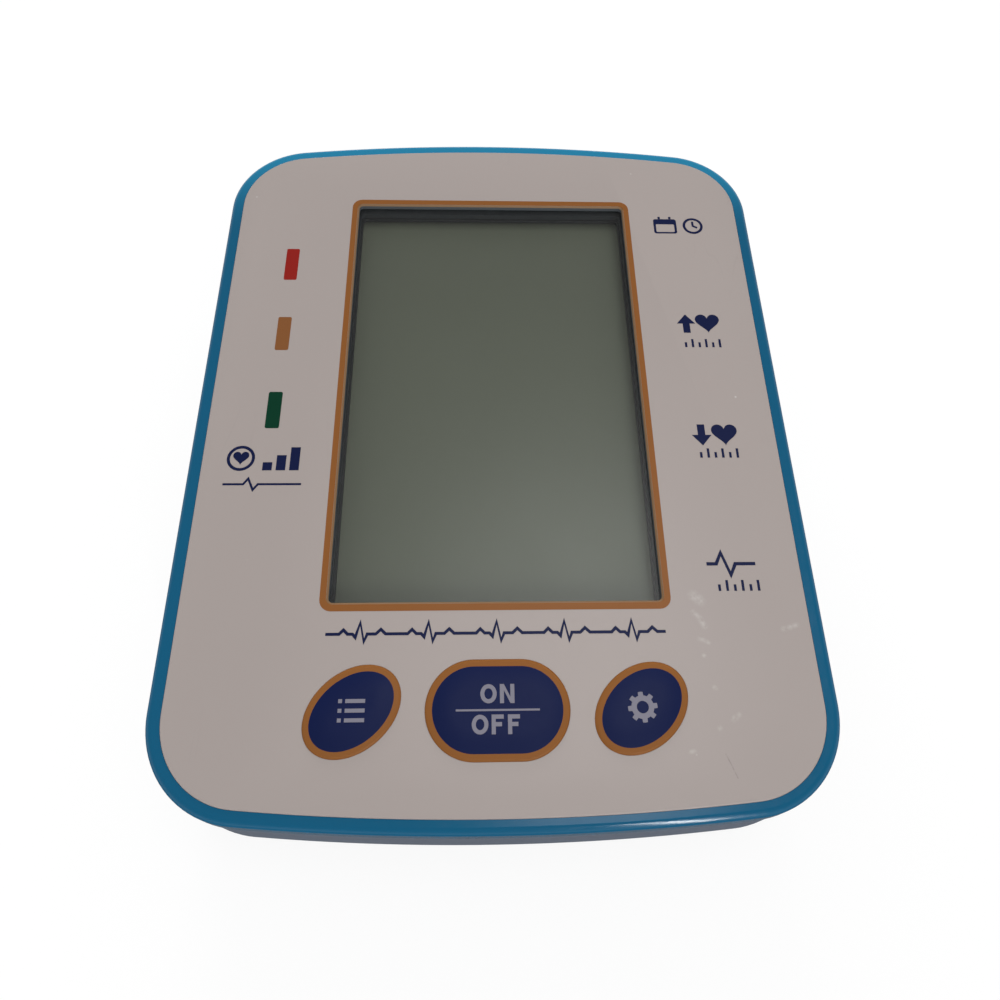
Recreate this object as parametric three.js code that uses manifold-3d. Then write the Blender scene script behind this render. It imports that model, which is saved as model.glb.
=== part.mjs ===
// Upper-arm blood pressure monitor, in millimetres, +Z up, +X to the user's right, +Y away from the user.
// The origin is on the table under the middle of the casing. The face slopes down towards the user.

import * as THREE from 'three';
import { mergeVertices } from 'three/addons/utils/BufferGeometryUtils.js';
import Module from 'manifold-3d';

const wasm = await Module();
wasm.setup();

// Driving dimensions: clearances
const fit = 0.3; // between pieces that rest on each other
const keyGap = 0.35; // round each key
const doorGap = 0.35; // round the battery door

// Driving dimensions: outline of the face, which has straight sides, arched ends and round corners
const panelWidth = 105;
const panelLength = 135.4;
const farArchRadius = 346;
const farCornerRadius = 13.4;
const nearArchRadius = 433;
const nearCornerRadius = 14;
const cornerSteps = 6;
const archSteps = 8;

// Driving dimensions: casing
const faceTilt = 10; // degrees
const frontHeight = 22; // table to the front edge of the face
const footStand = 1; // table to the underside
const rimWidth = 2.15; // at the near end
const rimSideExtra = 0.3; // the rim is this much wider at the sides and the far end
const rimSet = 0.15; // the rim's crown lies this far under the face
const rimRoundWidth = 1.2;
const rimRoundDrop = 0.8;
const rimSteps = 4;
const coverDepth = 3.3; // face to the lower edge of the upper housing
const partingStep = 0.25; // the casing steps in under the near end of the rim
const wall = 2.2;
const floorThickness = 2.2;
const baseInset = 5; // the walls curve in to the underside
const baseHeight = 8;
const baseSteps = 4;
const deckThickness = 1.8; // upper housing under the face panel
const tongueLength = 1.6; // lip of the upper housing inside the lower one
const tongueThickness = 1.3;

// Driving dimensions: face panel and display
const panelThickness = 0.8;
const panelChamfer = 0.25;
const windowWidth = 56.1;
const windowFarMargin = 15.75; // far edge of the face to the window
const windowNearMargin = 33.25; // near edge of the face to the window
const windowCorner = 0.8;
const paneLap = 2; // clear pane beyond the window on each side
const paneThickness = 1.2;
const ledgeThickness = 1; // ledge of the upper housing under the pane
const ledgeWall = 1.6;
const glassSideLap = 1.95; // glass beyond the window on each side
const glassEndLap = 2.8; // and at each end
const glassFrontThickness = 1.5;
const glassBackThickness = 1.1;
const glassLedge = 3.6; // contact edge of the front glass beyond the back glass
const frameLip = 0.6; // lip of the display frame over the glass
const frameWall = 1.2;
const frameOverlap = 0.3; // lip of the frame inside the window's edge
const boardDepth = 9.4; // face to the top of the circuit board
const connectorWidth = 2.2;

// Driving dimensions: keys
const sideKeyX = 22.9;
const keyRowInset = 15.85; // near edge of the face to the middle of the keys
const sideKeyLong = 8.4; // half axes of the slanted ovals
const sideKeyShort = 6.2;
const sideKeySlant = 39; // degrees
const middleKeyHalfLength = 11.5;
const middleKeyHalfWidth = 7.8;
const keyProud = 0.25; // edge of a key above the face
const keyCrown = 0.45; // rise from the edge to the middle
const keyCrownInset = 4.5; // edge to the flat middle
const keyCrownSteps = 2;
const keyRound = 0.3;
const keyFlange = 1;
const keyFlangeThickness = 0.9;
const keySkin = 1.2;
const keyStemRadius = 2;
const keyTravel = 0.6;
const keySides = 28;

// Driving dimensions: push switches
const switchWidth = 6;
const switchHeight = 3.4;
const plungerRadius = 1.6;
const plungerProud = 1.2;
const plungerDepth = 2;

// Driving dimensions: circuit board and what it carries
const boardThickness = 1.6;
const boardWidth = 62;
const boardFarInset = 5.2; // far edge of the face to the board
const boardNearInset = 1.7; // near edge of the face to the board
const boardCorner = 1.5;
const boardScrewEndInset = 2.9; // edge of the board to the middle of a screw
const boardScrewSideInset = 3;
const boardScrewSides = 8;
const boardPostRadius = 2.5;
const boardScrewRadius = 1;
const boardScrewHeadRadius = 2;
const boardScrewHeadHeight = 1.2;
const boardScrewLength = 6;
const chipWidth = 12;
const chipThickness = 1.6;
const chipCorner = 0.6;
const chipInset = 31.7; // near edge of the face to the middle of the processor
const buzzerRadius = 6;
const buzzerHeight = 4.5;
const buzzerInset = 11; // right edge of the board to the middle of the buzzer

// Driving dimensions: cells and battery bay
const cellCount = 4;
const cellRadius = 7.25;
const cellBodyLength = 49.5;
const cellDiscRadius = 5.1; // raised disc of the flat end
const cellGroove = 0.5; // round the disc
const cellEdge = 0.4; // rounded edge of the can
const cellNubRadius = 2.75;
const cellNubLength = 1;
const cellPitch = 15;
const cellRise = 0.6; // battery door to the cells
const cellHeadroom = 0.4;
const baySideRoom = 5.4; // bay to the inside of the right wall
const bayFarInset = 17.7; // far edge of the face to the bay
const bayWall = 1.6;
const ridgeDrop = 3; // ridges between the cells, under the ceiling of the bay
const ridgeRootHalf = 3;
const ridgeTipHalf = 0.8;
const ridgeEndRoom = 2; // springs to the ends of the ridges
const guideWidth = 1.2; // guide ribs beside the contacts
const contactThickness = 0.5;
const contactHeight = 10;
const contactWidth = 9;
const contactDimple = 0.4;
const springWire = 0.7;
const springSides = 5;
const springStepsPerCurl = 8;
const springCurls = 3;
const springBaseRadius = 4.2;
const springTipRadius = 2.6;
const springHeight = 4.2;

// Driving dimensions: battery door
const doorThickness = 1.8;
const doorLap = 1.2; // door beyond the bay on each side
const doorCorner = 1.5;
const doorRibHeight = 0.4;
const doorRibCount = 5;
const doorRibPitch = 2;
const doorRibLength = 16;
const hookSpacing = 30;
const hookWidth = 6;
const hookThickness = 1.4;
const hookReach = 2.4;
const hookSlotHeight = 6;
const latchWidth = 12;
const latchHeight = 2.4; // latch tongue above the panel
const latchThickness = 1.2;
const latchSlit = 0.8;
const latchSlitLength = 7;
const scoopRadius = 6; // finger scoop in front of the latch
const scoopDepth = 1.4;

// Driving dimensions: feet and casing screws
const footRadius = 4;
const footRecess = 0.8;
const footEdge = 0.3;
const footSideInset = 18.2; // inside of the wall to the middle of a foot
const footEndInset = 9.5; // end of the face to the middle of a foot
const bossSideInset = 8.7;
const bossEndInset = 11.4;
const bossRadius = 3.6;
const bossTop = 12;
const postRadius = 3.2;
const screwRadius = 1.4;
const screwHeadRadius = 2.7;
const screwHeadHeight = 1.8;
const screwLength = 16;
const screwSeat = 3.8; // table to the seat of the screw heads

// Driving dimensions: pump, valve, manifold, sensor and hoses
const pumpSideRoom = 2.4; // pump head to the inside of the left wall
const pumpFarInset = 19.8; // far edge of the face to the end of the motor
const pumpHeadWidth = 18;
const pumpHeadLength = 15;
const pumpHeadCorner = 2.5;
const motorRadius = 9;
const motorLength = 28;
const motorEdge = 1;
const motorBossRadius = 3;
const motorBossLength = 1.6;
const sleeveThickness = 1.5;
const sleeveLength = 18;
const saddleThickness = 2;
const saddleInset = 3;
const nozzleRadius = 1.2;
const nozzleLength = 3.6;
const nozzlePassage = 0.6;
const pumpNozzleInset = 2.4; // side of the pump head to its nozzle
const hoseBore = 1.55;
const hoseRadius = 2.6;
const hoseSides = 8;
const hoseSteps = 10;
const hoseBend = 5; // reach of the curve's handles
const manifoldWidth = 6.4;
const sensorEdgeInset = 5; // left edge of the board to the middle of the sensor, over the manifold
const manifoldSetback = 9.6; // bay to the manifold
const valveRoom = 1; // valve to the pad of the finger scoop
const valveLength = 18;
const valveWidth = 12;
const valveHeight = 11;
const valveYoke = 1.2; // thickness of the yoke
const valveCoilRadius = 4.4;
const sensorWidth = 7;
const sensorHeight = 3.2;
const sensorCorner = 0.5;
const sensorNozzle = 1.8;

// Driving dimensions: cuff socket in the left side and adapter jack in the right side
const socketInset = 31.7; // near edge of the face to the cuff socket
const socketHeight = 13.5;
const socketRadius = 5.8;
const socketBore = 4;
const socketBoreDepth = 11;
const socketLength = 14;
const socketPassage = 0.8;
const socketFlangeRadius = 7.2;
const socketFlangeThickness = 1.2;
const jackInset = 33.7; // near edge of the face to the jack
const jackHeight = 15;
const jackWidth = 9;
const jackTall = 11;
const jackLength = 13;
const jackBore = 3.2;
const jackBoreDepth = 10;
const jackPinRadius = 1;
const jackPinTip = 0.5;
const jackPinSetback = 1.5; // mouth of the bore to the tip
const plugRadius = 4.7; // hole in the wall for the plug's sleeve
const shelfThickness = 2;
const shelfLength = 8;

// Places worked out from the driving dimensions
const tilt = THREE.MathUtils.degToRad(faceTilt);
const cosTilt = Math.cos(tilt);
const sinTilt = Math.sin(tilt);
const halfFace = panelLength / 2;
const midHeight = frontHeight + (halfFace + rimWidth) * sinTilt;
const windowLength = panelLength - windowFarMargin - windowNearMargin;
const windowCentreY = (windowNearMargin - windowFarMargin) / 2;
const glassWidth = windowWidth + 2 * glassSideLap;
const glassLength = windowLength + 2 * glassEndLap;
const keyRowY = keyRowInset - halfFace;
const boardFarY = halfFace - boardFarInset;
const boardNearY = boardNearInset - halfFace;
const boardScrewX = boardWidth / 2 - boardScrewSideInset;
const buzzerX = boardWidth / 2 - buzzerInset;
const chipY = chipInset - halfFace;
const paneDepth = panelThickness + fit;
const deckDepth = panelThickness + fit + deckThickness;
const ledgeDepth = paneDepth + paneThickness + fit;
const frameDepth = ledgeDepth + ledgeThickness + fit;
const glassDepth = frameDepth + frameLip + fit;
const glassBottom = glassDepth + glassFrontThickness + glassBackThickness;
const flangeDepth = deckDepth + fit;
const boardBottom = boardDepth + boardThickness;
const floorTop = footStand + floorThickness;
const tubGrow = rimWidth - partingStep;
const outerSide = panelWidth / 2 + tubGrow;
const innerSide = outerSide - wall;
const cellHeight = footStand + doorThickness + cellRise + cellRadius;
const cellLength = cellBodyLength + cellNubLength;
const springEnd = contactThickness + fit + springHeight + fit;
const buttonEnd = contactThickness + fit + contactDimple + fit;
const bayLength = springEnd + cellLength + buttonEnd;
const bayFarY = halfFace - bayFarInset;
const bayNearY = bayFarY - bayLength;
const bayHalfWidth = (cellCount * cellPitch) / 2 + fit;
const bayCentreX = innerSide - baySideRoom - bayHalfWidth;
const bayTop = cellHeight + cellRadius + cellHeadroom;
const doorNearY = bayNearY - doorLap;
const doorFarY = bayFarY + doorLap;
const doorHalfWidth = bayHalfWidth + doorLap;
const doorTop = footStand + doorThickness;
const footX = innerSide - footSideInset;
const footY = halfFace - footEndInset;
const bossX = innerSide - bossSideInset;
const bossY = halfFace - bossEndInset;
const pumpX = pumpSideRoom + pumpHeadWidth / 2 - innerSide;
const motorFarY = halfFace - pumpFarInset - motorBossLength;
const motorNearY = motorFarY - motorLength;
const pumpNearY = motorNearY - fit - pumpHeadLength;
const sleeveRadius = motorRadius + sleeveThickness;
const pumpHeight = floorTop + fit + sleeveRadius;
const manifoldX = sensorEdgeInset - boardWidth / 2;
const manifoldY = bayNearY - manifoldSetback;
const scoopPadRadius = scoopRadius + bayWall;
const valveX = bayCentreX - scoopPadRadius - valveRoom - valveLength / 2;
const socketY = socketInset - halfFace;
const jackY = jackInset - halfFace;
const sensorBottom = boardBottom + fit + sensorHeight;
const airLevel = floorTop + fit + manifoldWidth / 2;
const valveBottom = floorTop + fit;

const faceFrame = new THREE.Matrix4().makeRotationX(tilt).setPosition(0, 0, midHeight);

// Outlines

// Points of one arched end of the face, from its right side to its left, at a distance outside the face.
function archedEnd(archRadius, cornerRadius, grow) {
  const cornerX = panelWidth / 2 - cornerRadius;
  const archY = halfFace - archRadius;
  const cornerY = archY + Math.sqrt((archRadius - cornerRadius) ** 2 - cornerX ** 2);
  const turn = Math.atan2(cornerY - archY, cornerX);
  const half = [];
  for (let i = 0; i < cornerSteps; i += 1) {
    const angle = (turn * i) / cornerSteps;
    const reach = cornerRadius + grow;
    half.push(new THREE.Vector2(cornerX + reach * Math.cos(angle), cornerY + reach * Math.sin(angle)));
  }
  const arch = [];
  for (let i = 0; i <= archSteps; i += 1) {
    const angle = turn + ((Math.PI - 2 * turn) * i) / archSteps;
    const reach = archRadius + grow;
    arch.push(new THREE.Vector2(reach * Math.cos(angle), archY + reach * Math.sin(angle)));
  }
  const mirrored = half.map((point) => new THREE.Vector2(-point.x, point.y)).reverse();
  return [...half, ...arch, ...mirrored];
}

// The face's outline at a distance outside it, which may be wider at the sides and the far end.
function faceOutline(grow = 0, sideExtra = 0) {
  const far = archedEnd(farArchRadius, farCornerRadius, grow + sideExtra);
  const near = archedEnd(nearArchRadius, nearCornerRadius, grow + sideExtra).reverse();
  return [...far, ...near.map((point) => new THREE.Vector2(point.x, sideExtra - point.y))];
}

// A ring of the casing on a plane parallel to the face, a distance straight below it.
function slopeRing(grow, drop, sideExtra = 0) {
  return faceOutline(grow, sideExtra).map(
    (point) => new THREE.Vector3(point.x, point.y * cosTilt, midHeight + point.y * sinTilt - drop),
  );
}

// A ring of the casing on a level plane.
function levelRing(grow, height) {
  return faceOutline(grow).map((point) => new THREE.Vector3(point.x, point.y * cosTilt, height));
}

function flatRing(points, height) {
  return points.map((point) => new THREE.Vector3(point.x, point.y, height));
}

function roundedRectangle(width, length, corner, centreX = 0, centreY = 0, steps = 3) {
  const points = [];
  for (let quarter = 0; quarter < 4; quarter += 1) {
    const signX = quarter === 0 || quarter === 3 ? 1 : -1;
    const signY = quarter < 2 ? 1 : -1;
    for (let i = 0; i <= steps; i += 1) {
      const angle = (Math.PI / 2) * (quarter + i / steps);
      const x = centreX + signX * (width / 2 - corner) + corner * Math.cos(angle);
      const y = centreY + signY * (length / 2 - corner) + corner * Math.sin(angle);
      points.push(new THREE.Vector2(x, y));
    }
  }
  return points;
}

function circle(radius, sides, centreX = 0, centreY = 0) {
  const points = [];
  for (let i = 0; i < sides; i += 1) {
    const angle = (2 * Math.PI * (i + 0.5)) / sides;
    points.push(new THREE.Vector2(centreX + radius * Math.cos(angle), centreY + radius * Math.sin(angle)));
  }
  return points;
}

// Slanted oval of a side key, or the round-ended middle key, at a distance outside its edge.
function ovalOutline(centreX, grow) {
  const points = [];
  const slant = THREE.MathUtils.degToRad(sideKeySlant);
  for (let i = 0; i < keySides; i += 1) {
    const angle = (2 * Math.PI * i) / keySides;
    const along = (sideKeyLong + grow) * Math.cos(angle);
    const across = (sideKeyShort + grow) * Math.sin(angle);
    const x = centreX + along * Math.cos(slant) - across * Math.sin(slant);
    const y = keyRowY + along * Math.sin(slant) + across * Math.cos(slant);
    points.push(new THREE.Vector2(x, y));
  }
  return points;
}

function stadiumOutline(centreX, grow) {
  const points = [];
  const straight = middleKeyHalfLength - middleKeyHalfWidth;
  const radius = middleKeyHalfWidth + grow;
  const halfSides = keySides / 2;
  for (const side of [1, -1]) {
    for (let i = 0; i < halfSides; i += 1) {
      const angle = -Math.PI / 2 + (Math.PI * i) / (halfSides - 1);
      const x = centreX + side * (straight + radius * Math.cos(angle));
      points.push(new THREE.Vector2(x, keyRowY + side * radius * Math.sin(angle)));
    }
  }
  return points;
}

// Geometry builders

// A mesh through rings of equal point counts; the last ring joins the first where it closes up.
function skin(rings, closesUp) {
  const count = rings[0].length;
  const bands = closesUp ? rings.length : rings.length - 1;
  const index = [];
  for (let k = 0; k < bands; k += 1) {
    const above = (k + 1) % rings.length;
    for (let i = 0; i < count; i += 1) {
      const next = (i + 1) % count;
      const a = k * count + i;
      const b = k * count + next;
      const c = above * count + next;
      const d = above * count + i;
      index.push(a, b, c, a, c, d);
    }
  }
  const geometry = new THREE.BufferGeometry();
  const positions = rings.flat().flatMap((point) => [point.x, point.y, point.z]);
  geometry.setAttribute('position', new THREE.Float32BufferAttribute(positions, 3));
  geometry.setIndex(index);
  return geometry;
}

// A closed body through rings, the first at the bottom, each anticlockwise from above.
function loft(rings) {
  const geometry = skin(rings, false);
  const index = Array.from(geometry.index.array);
  const top = (rings.length - 1) * rings[0].length;
  for (const [a, b, c] of THREE.ShapeUtils.triangulateShape(rings[0], [])) index.push(a, c, b);
  for (const [a, b, c] of THREE.ShapeUtils.triangulateShape(rings.at(-1), [])) {
    index.push(top + a, top + b, top + c);
  }
  geometry.setIndex(index);
  return geometry;
}

// A straight body over an outline, between two heights.
function prism(points, low, high) {
  const shape = new THREE.Shape(points);
  const geometry = new THREE.ExtrudeGeometry(shape, { depth: high - low, bevelEnabled: false });
  return geometry.translate(0, 0, low);
}

function block(x0, x1, y0, y1, z0, z1) {
  const geometry = new THREE.BoxGeometry(x1 - x0, y1 - y0, z1 - z0);
  return geometry.translate((x0 + x1) / 2, (y0 + y1) / 2, (z0 + z1) / 2);
}

function post(radius, x, y, z0, z1, sides = 16) {
  return prism(circle(radius, sides, x, y), z0, z1);
}

// A body turned about +Z from [radius, height] pairs that start and end on the axis or close on themselves.
function turned(profile, sides) {
  const points = profile.map(([radius, height]) => new THREE.Vector2(radius, height));
  return new THREE.LatheGeometry(points, sides).rotateX(Math.PI / 2);
}

// A tube along a list of points, with a bore when one is given.
function tube(path, radius, bore, sides) {
  const normal = new THREE.Vector3();
  const rings = [];
  for (let i = 0; i < path.length; i += 1) {
    const before = path[Math.max(i - 1, 0)];
    const after = path[Math.min(i + 1, path.length - 1)];
    const tangent = after.clone().sub(before).normalize();
    if (i === 0) normal.set(tangent.z, tangent.x, tangent.y);
    normal.addScaledVector(tangent, -normal.dot(tangent)).normalize();
    const side = new THREE.Vector3().crossVectors(tangent, normal);
    rings.push({ centre: path[i], normal: normal.clone(), side });
  }
  const section = (ring, reach) => circle(reach, sides).map((point) => ring.centre.clone()
    .addScaledVector(ring.normal, point.x)
    .addScaledVector(ring.side, point.y));
  const outer = rings.map((ring) => section(ring, radius));
  if (!bore) return loft(outer);
  const inner = rings.map((ring) => section(ring, bore));
  return skin([...outer, ...inner.reverse()], true);
}

// Merges shared vertices, drops flat triangles and turns the faces outwards.
function closed(geometry) {
  const bare = geometry.clone();
  bare.deleteAttribute('normal');
  bare.deleteAttribute('uv');
  const merged = mergeVertices(bare, 1e-4);
  const index = [];
  for (let i = 0; i < merged.index.count; i += 3) {
    const [a, b, c] = [0, 1, 2].map((step) => merged.index.getX(i + step));
    if (a !== b && b !== c && c !== a) index.push(a, b, c);
  }
  const corner = [0, 1, 2].map(() => new THREE.Vector3());
  let volume = 0;
  for (let i = 0; i < index.length; i += 3) {
    corner.forEach((point, step) => point.fromBufferAttribute(merged.attributes.position, index[i + step]));
    volume += corner[0].dot(corner[1].clone().cross(corner[2]));
  }
  merged.setIndex(volume < 0 ? index.reverse() : index);
  return merged;
}

// Solids for cutting and joining
function solid(geometry, frame = new THREE.Matrix4()) {
  const body = closed(geometry.clone().applyMatrix4(frame));
  const vertProperties = new Float32Array(body.attributes.position.array);
  const triVerts = new Uint32Array(body.index.array);
  return new wasm.Manifold(new wasm.Mesh({ numProp: 3, vertProperties, triVerts }));
}

function joined(...bodies) {
  return bodies.reduce((sum, body) => sum.add(body));
}

function cut(body, ...tools) {
  return tools.reduce((rest, tool) => rest.subtract(tool), body);
}

function geometryOf(body) {
  const mesh = body.getMesh();
  const geometry = new THREE.BufferGeometry();
  geometry.setAttribute('position', new THREE.Float32BufferAttribute(mesh.vertProperties, 3));
  geometry.setIndex(Array.from(mesh.triVerts));
  return geometry;
}

const onFace = (geometry) => solid(geometry, faceFrame);

// Groups and materials
const monitor = new THREE.Group();
const face = new THREE.Group();
face.rotation.x = tilt;
face.position.z = midHeight;
monitor.add(face);

const material = (color, roughness, metalness = 0) => new THREE.MeshStandardMaterial({
  color,
  roughness,
  metalness,
  flatShading: true,
});
const materials = {
  blue: material(0x1f7fb4, 0.25),
  grey: material(0x9a9da0, 0.5),
  white: material(0xe9e2da, 0.3),
  clear: material(0xf4f8f8, 0.05),
  black: material(0x17181b, 0.6),
  glass: material(0x8c9484, 0.15),
  elastomer: material(0xc9a8a0, 0.8),
  foam: material(0x3a3c3f, 0.95),
  board: material(0x1d6b3c, 0.5),
  navy: material(0x1c2560, 0.3),
  steel: material(0xb8babd, 0.3, 0.9),
  nickel: material(0xc8c4b8, 0.25, 1),
  cell: material(0x6f7a86, 0.35, 0.3),
  cream: material(0xddd8c8, 0.5),
  silicone: material(0xdfe6e8, 0.4),
  rubber: material(0x2b2c2e, 0.85),
};

function addPiece(parent, name, shape, finish) {
  const geometry = shape.isBufferGeometry ? closed(shape) : geometryOf(shape);
  const mesh = new THREE.Mesh(geometry, finish);
  mesh.name = name;
  parent.add(mesh);
  return mesh;
}

const fourCorners = [[1, 1], [-1, 1], [-1, -1], [1, -1]];

// Keys: what each is called, its outline and its place
const keys = [
  { name: 'memory', outline: ovalOutline, x: -sideKeyX },
  { name: 'start_stop', outline: stadiumOutline, x: 0 },
  { name: 'set', outline: ovalOutline, x: sideKeyX },
];

const windowOutline = (grow, corner = windowCorner) => roundedRectangle(
  windowWidth + 2 * grow,
  windowLength + 2 * grow,
  corner,
  0,
  windowCentreY,
);
const glassOutline = (grow) => roundedRectangle(
  glassWidth + 2 * grow,
  glassLength + 2 * grow,
  windowCorner,
  0,
  windowCentreY,
);
const boardMiddle = (boardFarY + boardNearY) / 2;
const boardScrewSpread = (boardFarY - boardNearY) / 2 - boardScrewEndInset;
const boardScrews = fourCorners.map(([sideX, sideY]) => [
  sideX * boardScrewX,
  boardMiddle + sideY * boardScrewSpread,
]);

// Upper housing: a shallow blue moulding with a rounded rim, a recess for the face panel, a ledge for the
// clear pane, holes for the keys, posts for the casing screws and the board, and a lip inside the lower one
function upperHousing() {
  const rings = [
    slopeRing(tubGrow, coverDepth),
    slopeRing(rimWidth, coverDepth - partingStep, rimSideExtra),
  ];
  for (let i = 0; i <= rimSteps; i += 1) {
    const angle = (Math.PI / 2) * (i / rimSteps);
    const grow = rimWidth - rimRoundWidth * (1 - Math.cos(angle));
    rings.push(slopeRing(grow, rimSet + rimRoundDrop * (1 - Math.sin(angle)), rimSideExtra));
  }
  const underside = deckDepth / cosTilt;
  const shell = cut(
    solid(loft(rings)),
    solid(loft([slopeRing(rimWidth - wall, coverDepth + wall), slopeRing(rimWidth - wall, underside)])),
  );
  const lipOuter = tubGrow - wall - fit;
  const lip = cut(
    solid(loft([slopeRing(lipOuter, coverDepth + tongueLength), slopeRing(lipOuter, underside - wall / 4)])),
    solid(loft([
      slopeRing(lipOuter - tongueThickness, coverDepth + tongueLength + wall),
      slopeRing(lipOuter - tongueThickness, underside - wall / 2),
    ])),
  );
  const ledgeOutline = windowOutline(paneLap + fit + ledgeWall);
  const ledge = onFace(prism(ledgeOutline, -ledgeDepth - ledgeThickness, -paneDepth));
  const screwPosts = fourCorners.map(([sideX, sideY]) => {
    const x = sideX * bossX;
    const y = sideY * bossY;
    const deckHeight = midHeight + y * Math.tan(tilt) - underside;
    return solid(post(postRadius, x, y, bossTop + fit, deckHeight + deckThickness / 2));
  });
  const boardPosts = boardScrews.map(([x, y]) => (
    onFace(post(boardPostRadius, x, y, -boardDepth + fit, -deckDepth + deckThickness / 2, 12))
  ));
  const body = joined(shell, lip, ledge, ...screwPosts, ...boardPosts);
  const pilotEnd = screwSeat + screwLength + fit;
  const pilotHoles = fourCorners.map(([sideX, sideY]) => (
    solid(post(screwRadius + fit / 2, sideX * bossX, sideY * bossY, bossTop, pilotEnd, 12))
  ));
  const boardPilots = boardScrews.map(([x, y]) => (
    onFace(post(boardScrewRadius + fit / 2, x, y, -boardDepth, -boardBottom + boardScrewLength + fit, 8))
  ));
  return cut(
    body,
    onFace(prism(faceOutline(fit), -paneDepth, wall)),
    onFace(prism(windowOutline(paneLap + fit), -ledgeDepth, 0)),
    onFace(prism(windowOutline(0), -boardDepth, 0)),
    ...keys.map((key) => onFace(prism(key.outline(key.x, keyGap), -boardDepth, 0))),
    ...pilotHoles,
    ...boardPilots,
  );
}
addPiece(monitor, 'upper_housing', upperHousing(), materials.blue);

// Face panel: a printed sheet in the recess, with a bevelled edge, the window and the key holes
function facePanel() {
  const sheet = solid(loft([
    flatRing(faceOutline(), -panelThickness),
    flatRing(faceOutline(), -panelChamfer),
    flatRing(faceOutline(-panelChamfer), 0),
  ]));
  return cut(
    sheet,
    solid(prism(windowOutline(0), -paneDepth, fit)),
    ...keys.map((key) => solid(prism(key.outline(key.x, keyGap), -paneDepth, fit))),
  );
}
addPiece(face, 'face_panel', facePanel(), materials.white);

// Display window: a clear pane in its pocket, under the edge of the face panel
addPiece(
  face,
  'display_window',
  prism(windowOutline(paneLap), -paneDepth - paneThickness, -paneDepth),
  materials.clear,
);

// Display frame: a black collar with a lip over the glass and walls down to the board
function displayFrame() {
  return cut(
    solid(prism(glassOutline(fit + frameWall), -boardDepth + fit, -frameDepth)),
    solid(prism(glassOutline(fit), -boardDepth, -frameDepth - frameLip)),
    solid(prism(windowOutline(-frameOverlap), -boardDepth, 0)),
  );
}
addPiece(face, 'display_frame', displayFrame(), materials.black);

// Display glass: a front plate and a shorter back plate, which leaves the contact edge free
const glassNearY = windowCentreY - glassLength / 2;
const glassFarY = windowCentreY + glassLength / 2;
function displayGlass() {
  const middle = glassDepth + glassFrontThickness;
  const half = glassWidth / 2;
  return joined(
    solid(block(-half, half, glassNearY, glassFarY, -middle, -glassDepth)),
    solid(block(-half, half, glassNearY + glassLedge, glassFarY, -glassBottom, -middle)),
  );
}
addPiece(face, 'display_glass', displayGlass(), materials.glass);

// Connector strip between the contact edge and the board, and the pad that backs the glass
const connectorNearY = glassNearY + (glassLedge - connectorWidth) / 2;
addPiece(
  face,
  'display_connector',
  block(
    -windowWidth / 2,
    windowWidth / 2,
    connectorNearY,
    connectorNearY + connectorWidth,
    -boardDepth + fit,
    -glassDepth - glassFrontThickness - fit,
  ),
  materials.elastomer,
);
addPiece(
  face,
  'display_backing_pad',
  block(
    -windowWidth / 2,
    windowWidth / 2,
    glassNearY + glassLedge + fit,
    glassFarY - fit,
    -boardDepth + fit,
    -glassBottom - fit,
  ),
  materials.foam,
);

// Circuit board, screwed from below to the posts of the upper housing
function circuitBoard() {
  const outline = roundedRectangle(boardWidth, boardFarY - boardNearY, boardCorner, 0, boardMiddle, 2);
  const holes = boardScrews.map(([x, y]) => (
    solid(post(boardScrewRadius + fit, x, y, -boardBottom - fit, -boardDepth + fit, 12))
  ));
  return cut(solid(prism(outline, -boardBottom, -boardDepth)), ...holes);
}
addPiece(face, 'main_circuit_board', circuitBoard(), materials.board);

// A screw with a low domed head, its seat at the origin and its point up
const screwHeadFlat = 0.8; // share of the head's radius that is flat on top
const screwHeadSide = 0.6; // share of the head's height that is straight
function headedScrew(radius, headRadius, headHeight, length, sides) {
  return turned([
    [0, -headHeight],
    [headRadius * screwHeadFlat, -headHeight],
    [headRadius, -headHeight * screwHeadSide],
    [headRadius, 0],
    [radius, 0],
    [radius, length - radius],
    [0, length],
  ], sides);
}
boardScrews.forEach(([x, y], i) => {
  const head = [boardScrewHeadRadius, boardScrewHeadHeight];
  const screw = headedScrew(boardScrewRadius, ...head, boardScrewLength, boardScrewSides);
  const mesh = addPiece(face, `board_screw_${i + 1}`, screw, materials.steel);
  mesh.position.set(x, y, -boardBottom - fit);
});

// Key caps: a thin crowned shell with a flange that the deck holds down and a stem over the switch,
// and under each a push switch whose plunger moves with the key
const switchTop = boardDepth - fit - switchHeight;
const plungerTop = switchTop - plungerProud;
function keyCap(key) {
  const flangeBottom = flangeDepth + keyFlangeThickness;
  const edge = keyProud;
  const crown = [[0, edge - keyRound]];
  for (let i = 0; i <= keyCrownSteps; i += 1) {
    const share = i / keyCrownSteps;
    const rise = keyCrown * Math.sin((Math.PI / 2) * share);
    crown.push([-keyRound - (keyCrownInset - keyRound) * share, edge + rise]);
  }
  const body = loft([
    flatRing(key.outline(key.x, keyFlange), -flangeBottom),
    flatRing(key.outline(key.x, keyFlange), -flangeDepth),
    flatRing(key.outline(key.x, 0), -flangeDepth),
    ...crown.map(([grow, height]) => flatRing(key.outline(key.x, grow), height)),
  ]);
  const hollow = prism(key.outline(key.x, -keySkin), -flangeBottom - fit, edge - keySkin);
  const stem = post(keyStemRadius, key.x, keyRowY, -plungerTop + fit, edge - keySkin / 2, 12);
  return joined(cut(solid(body), solid(hollow)), solid(stem));
}

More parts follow.
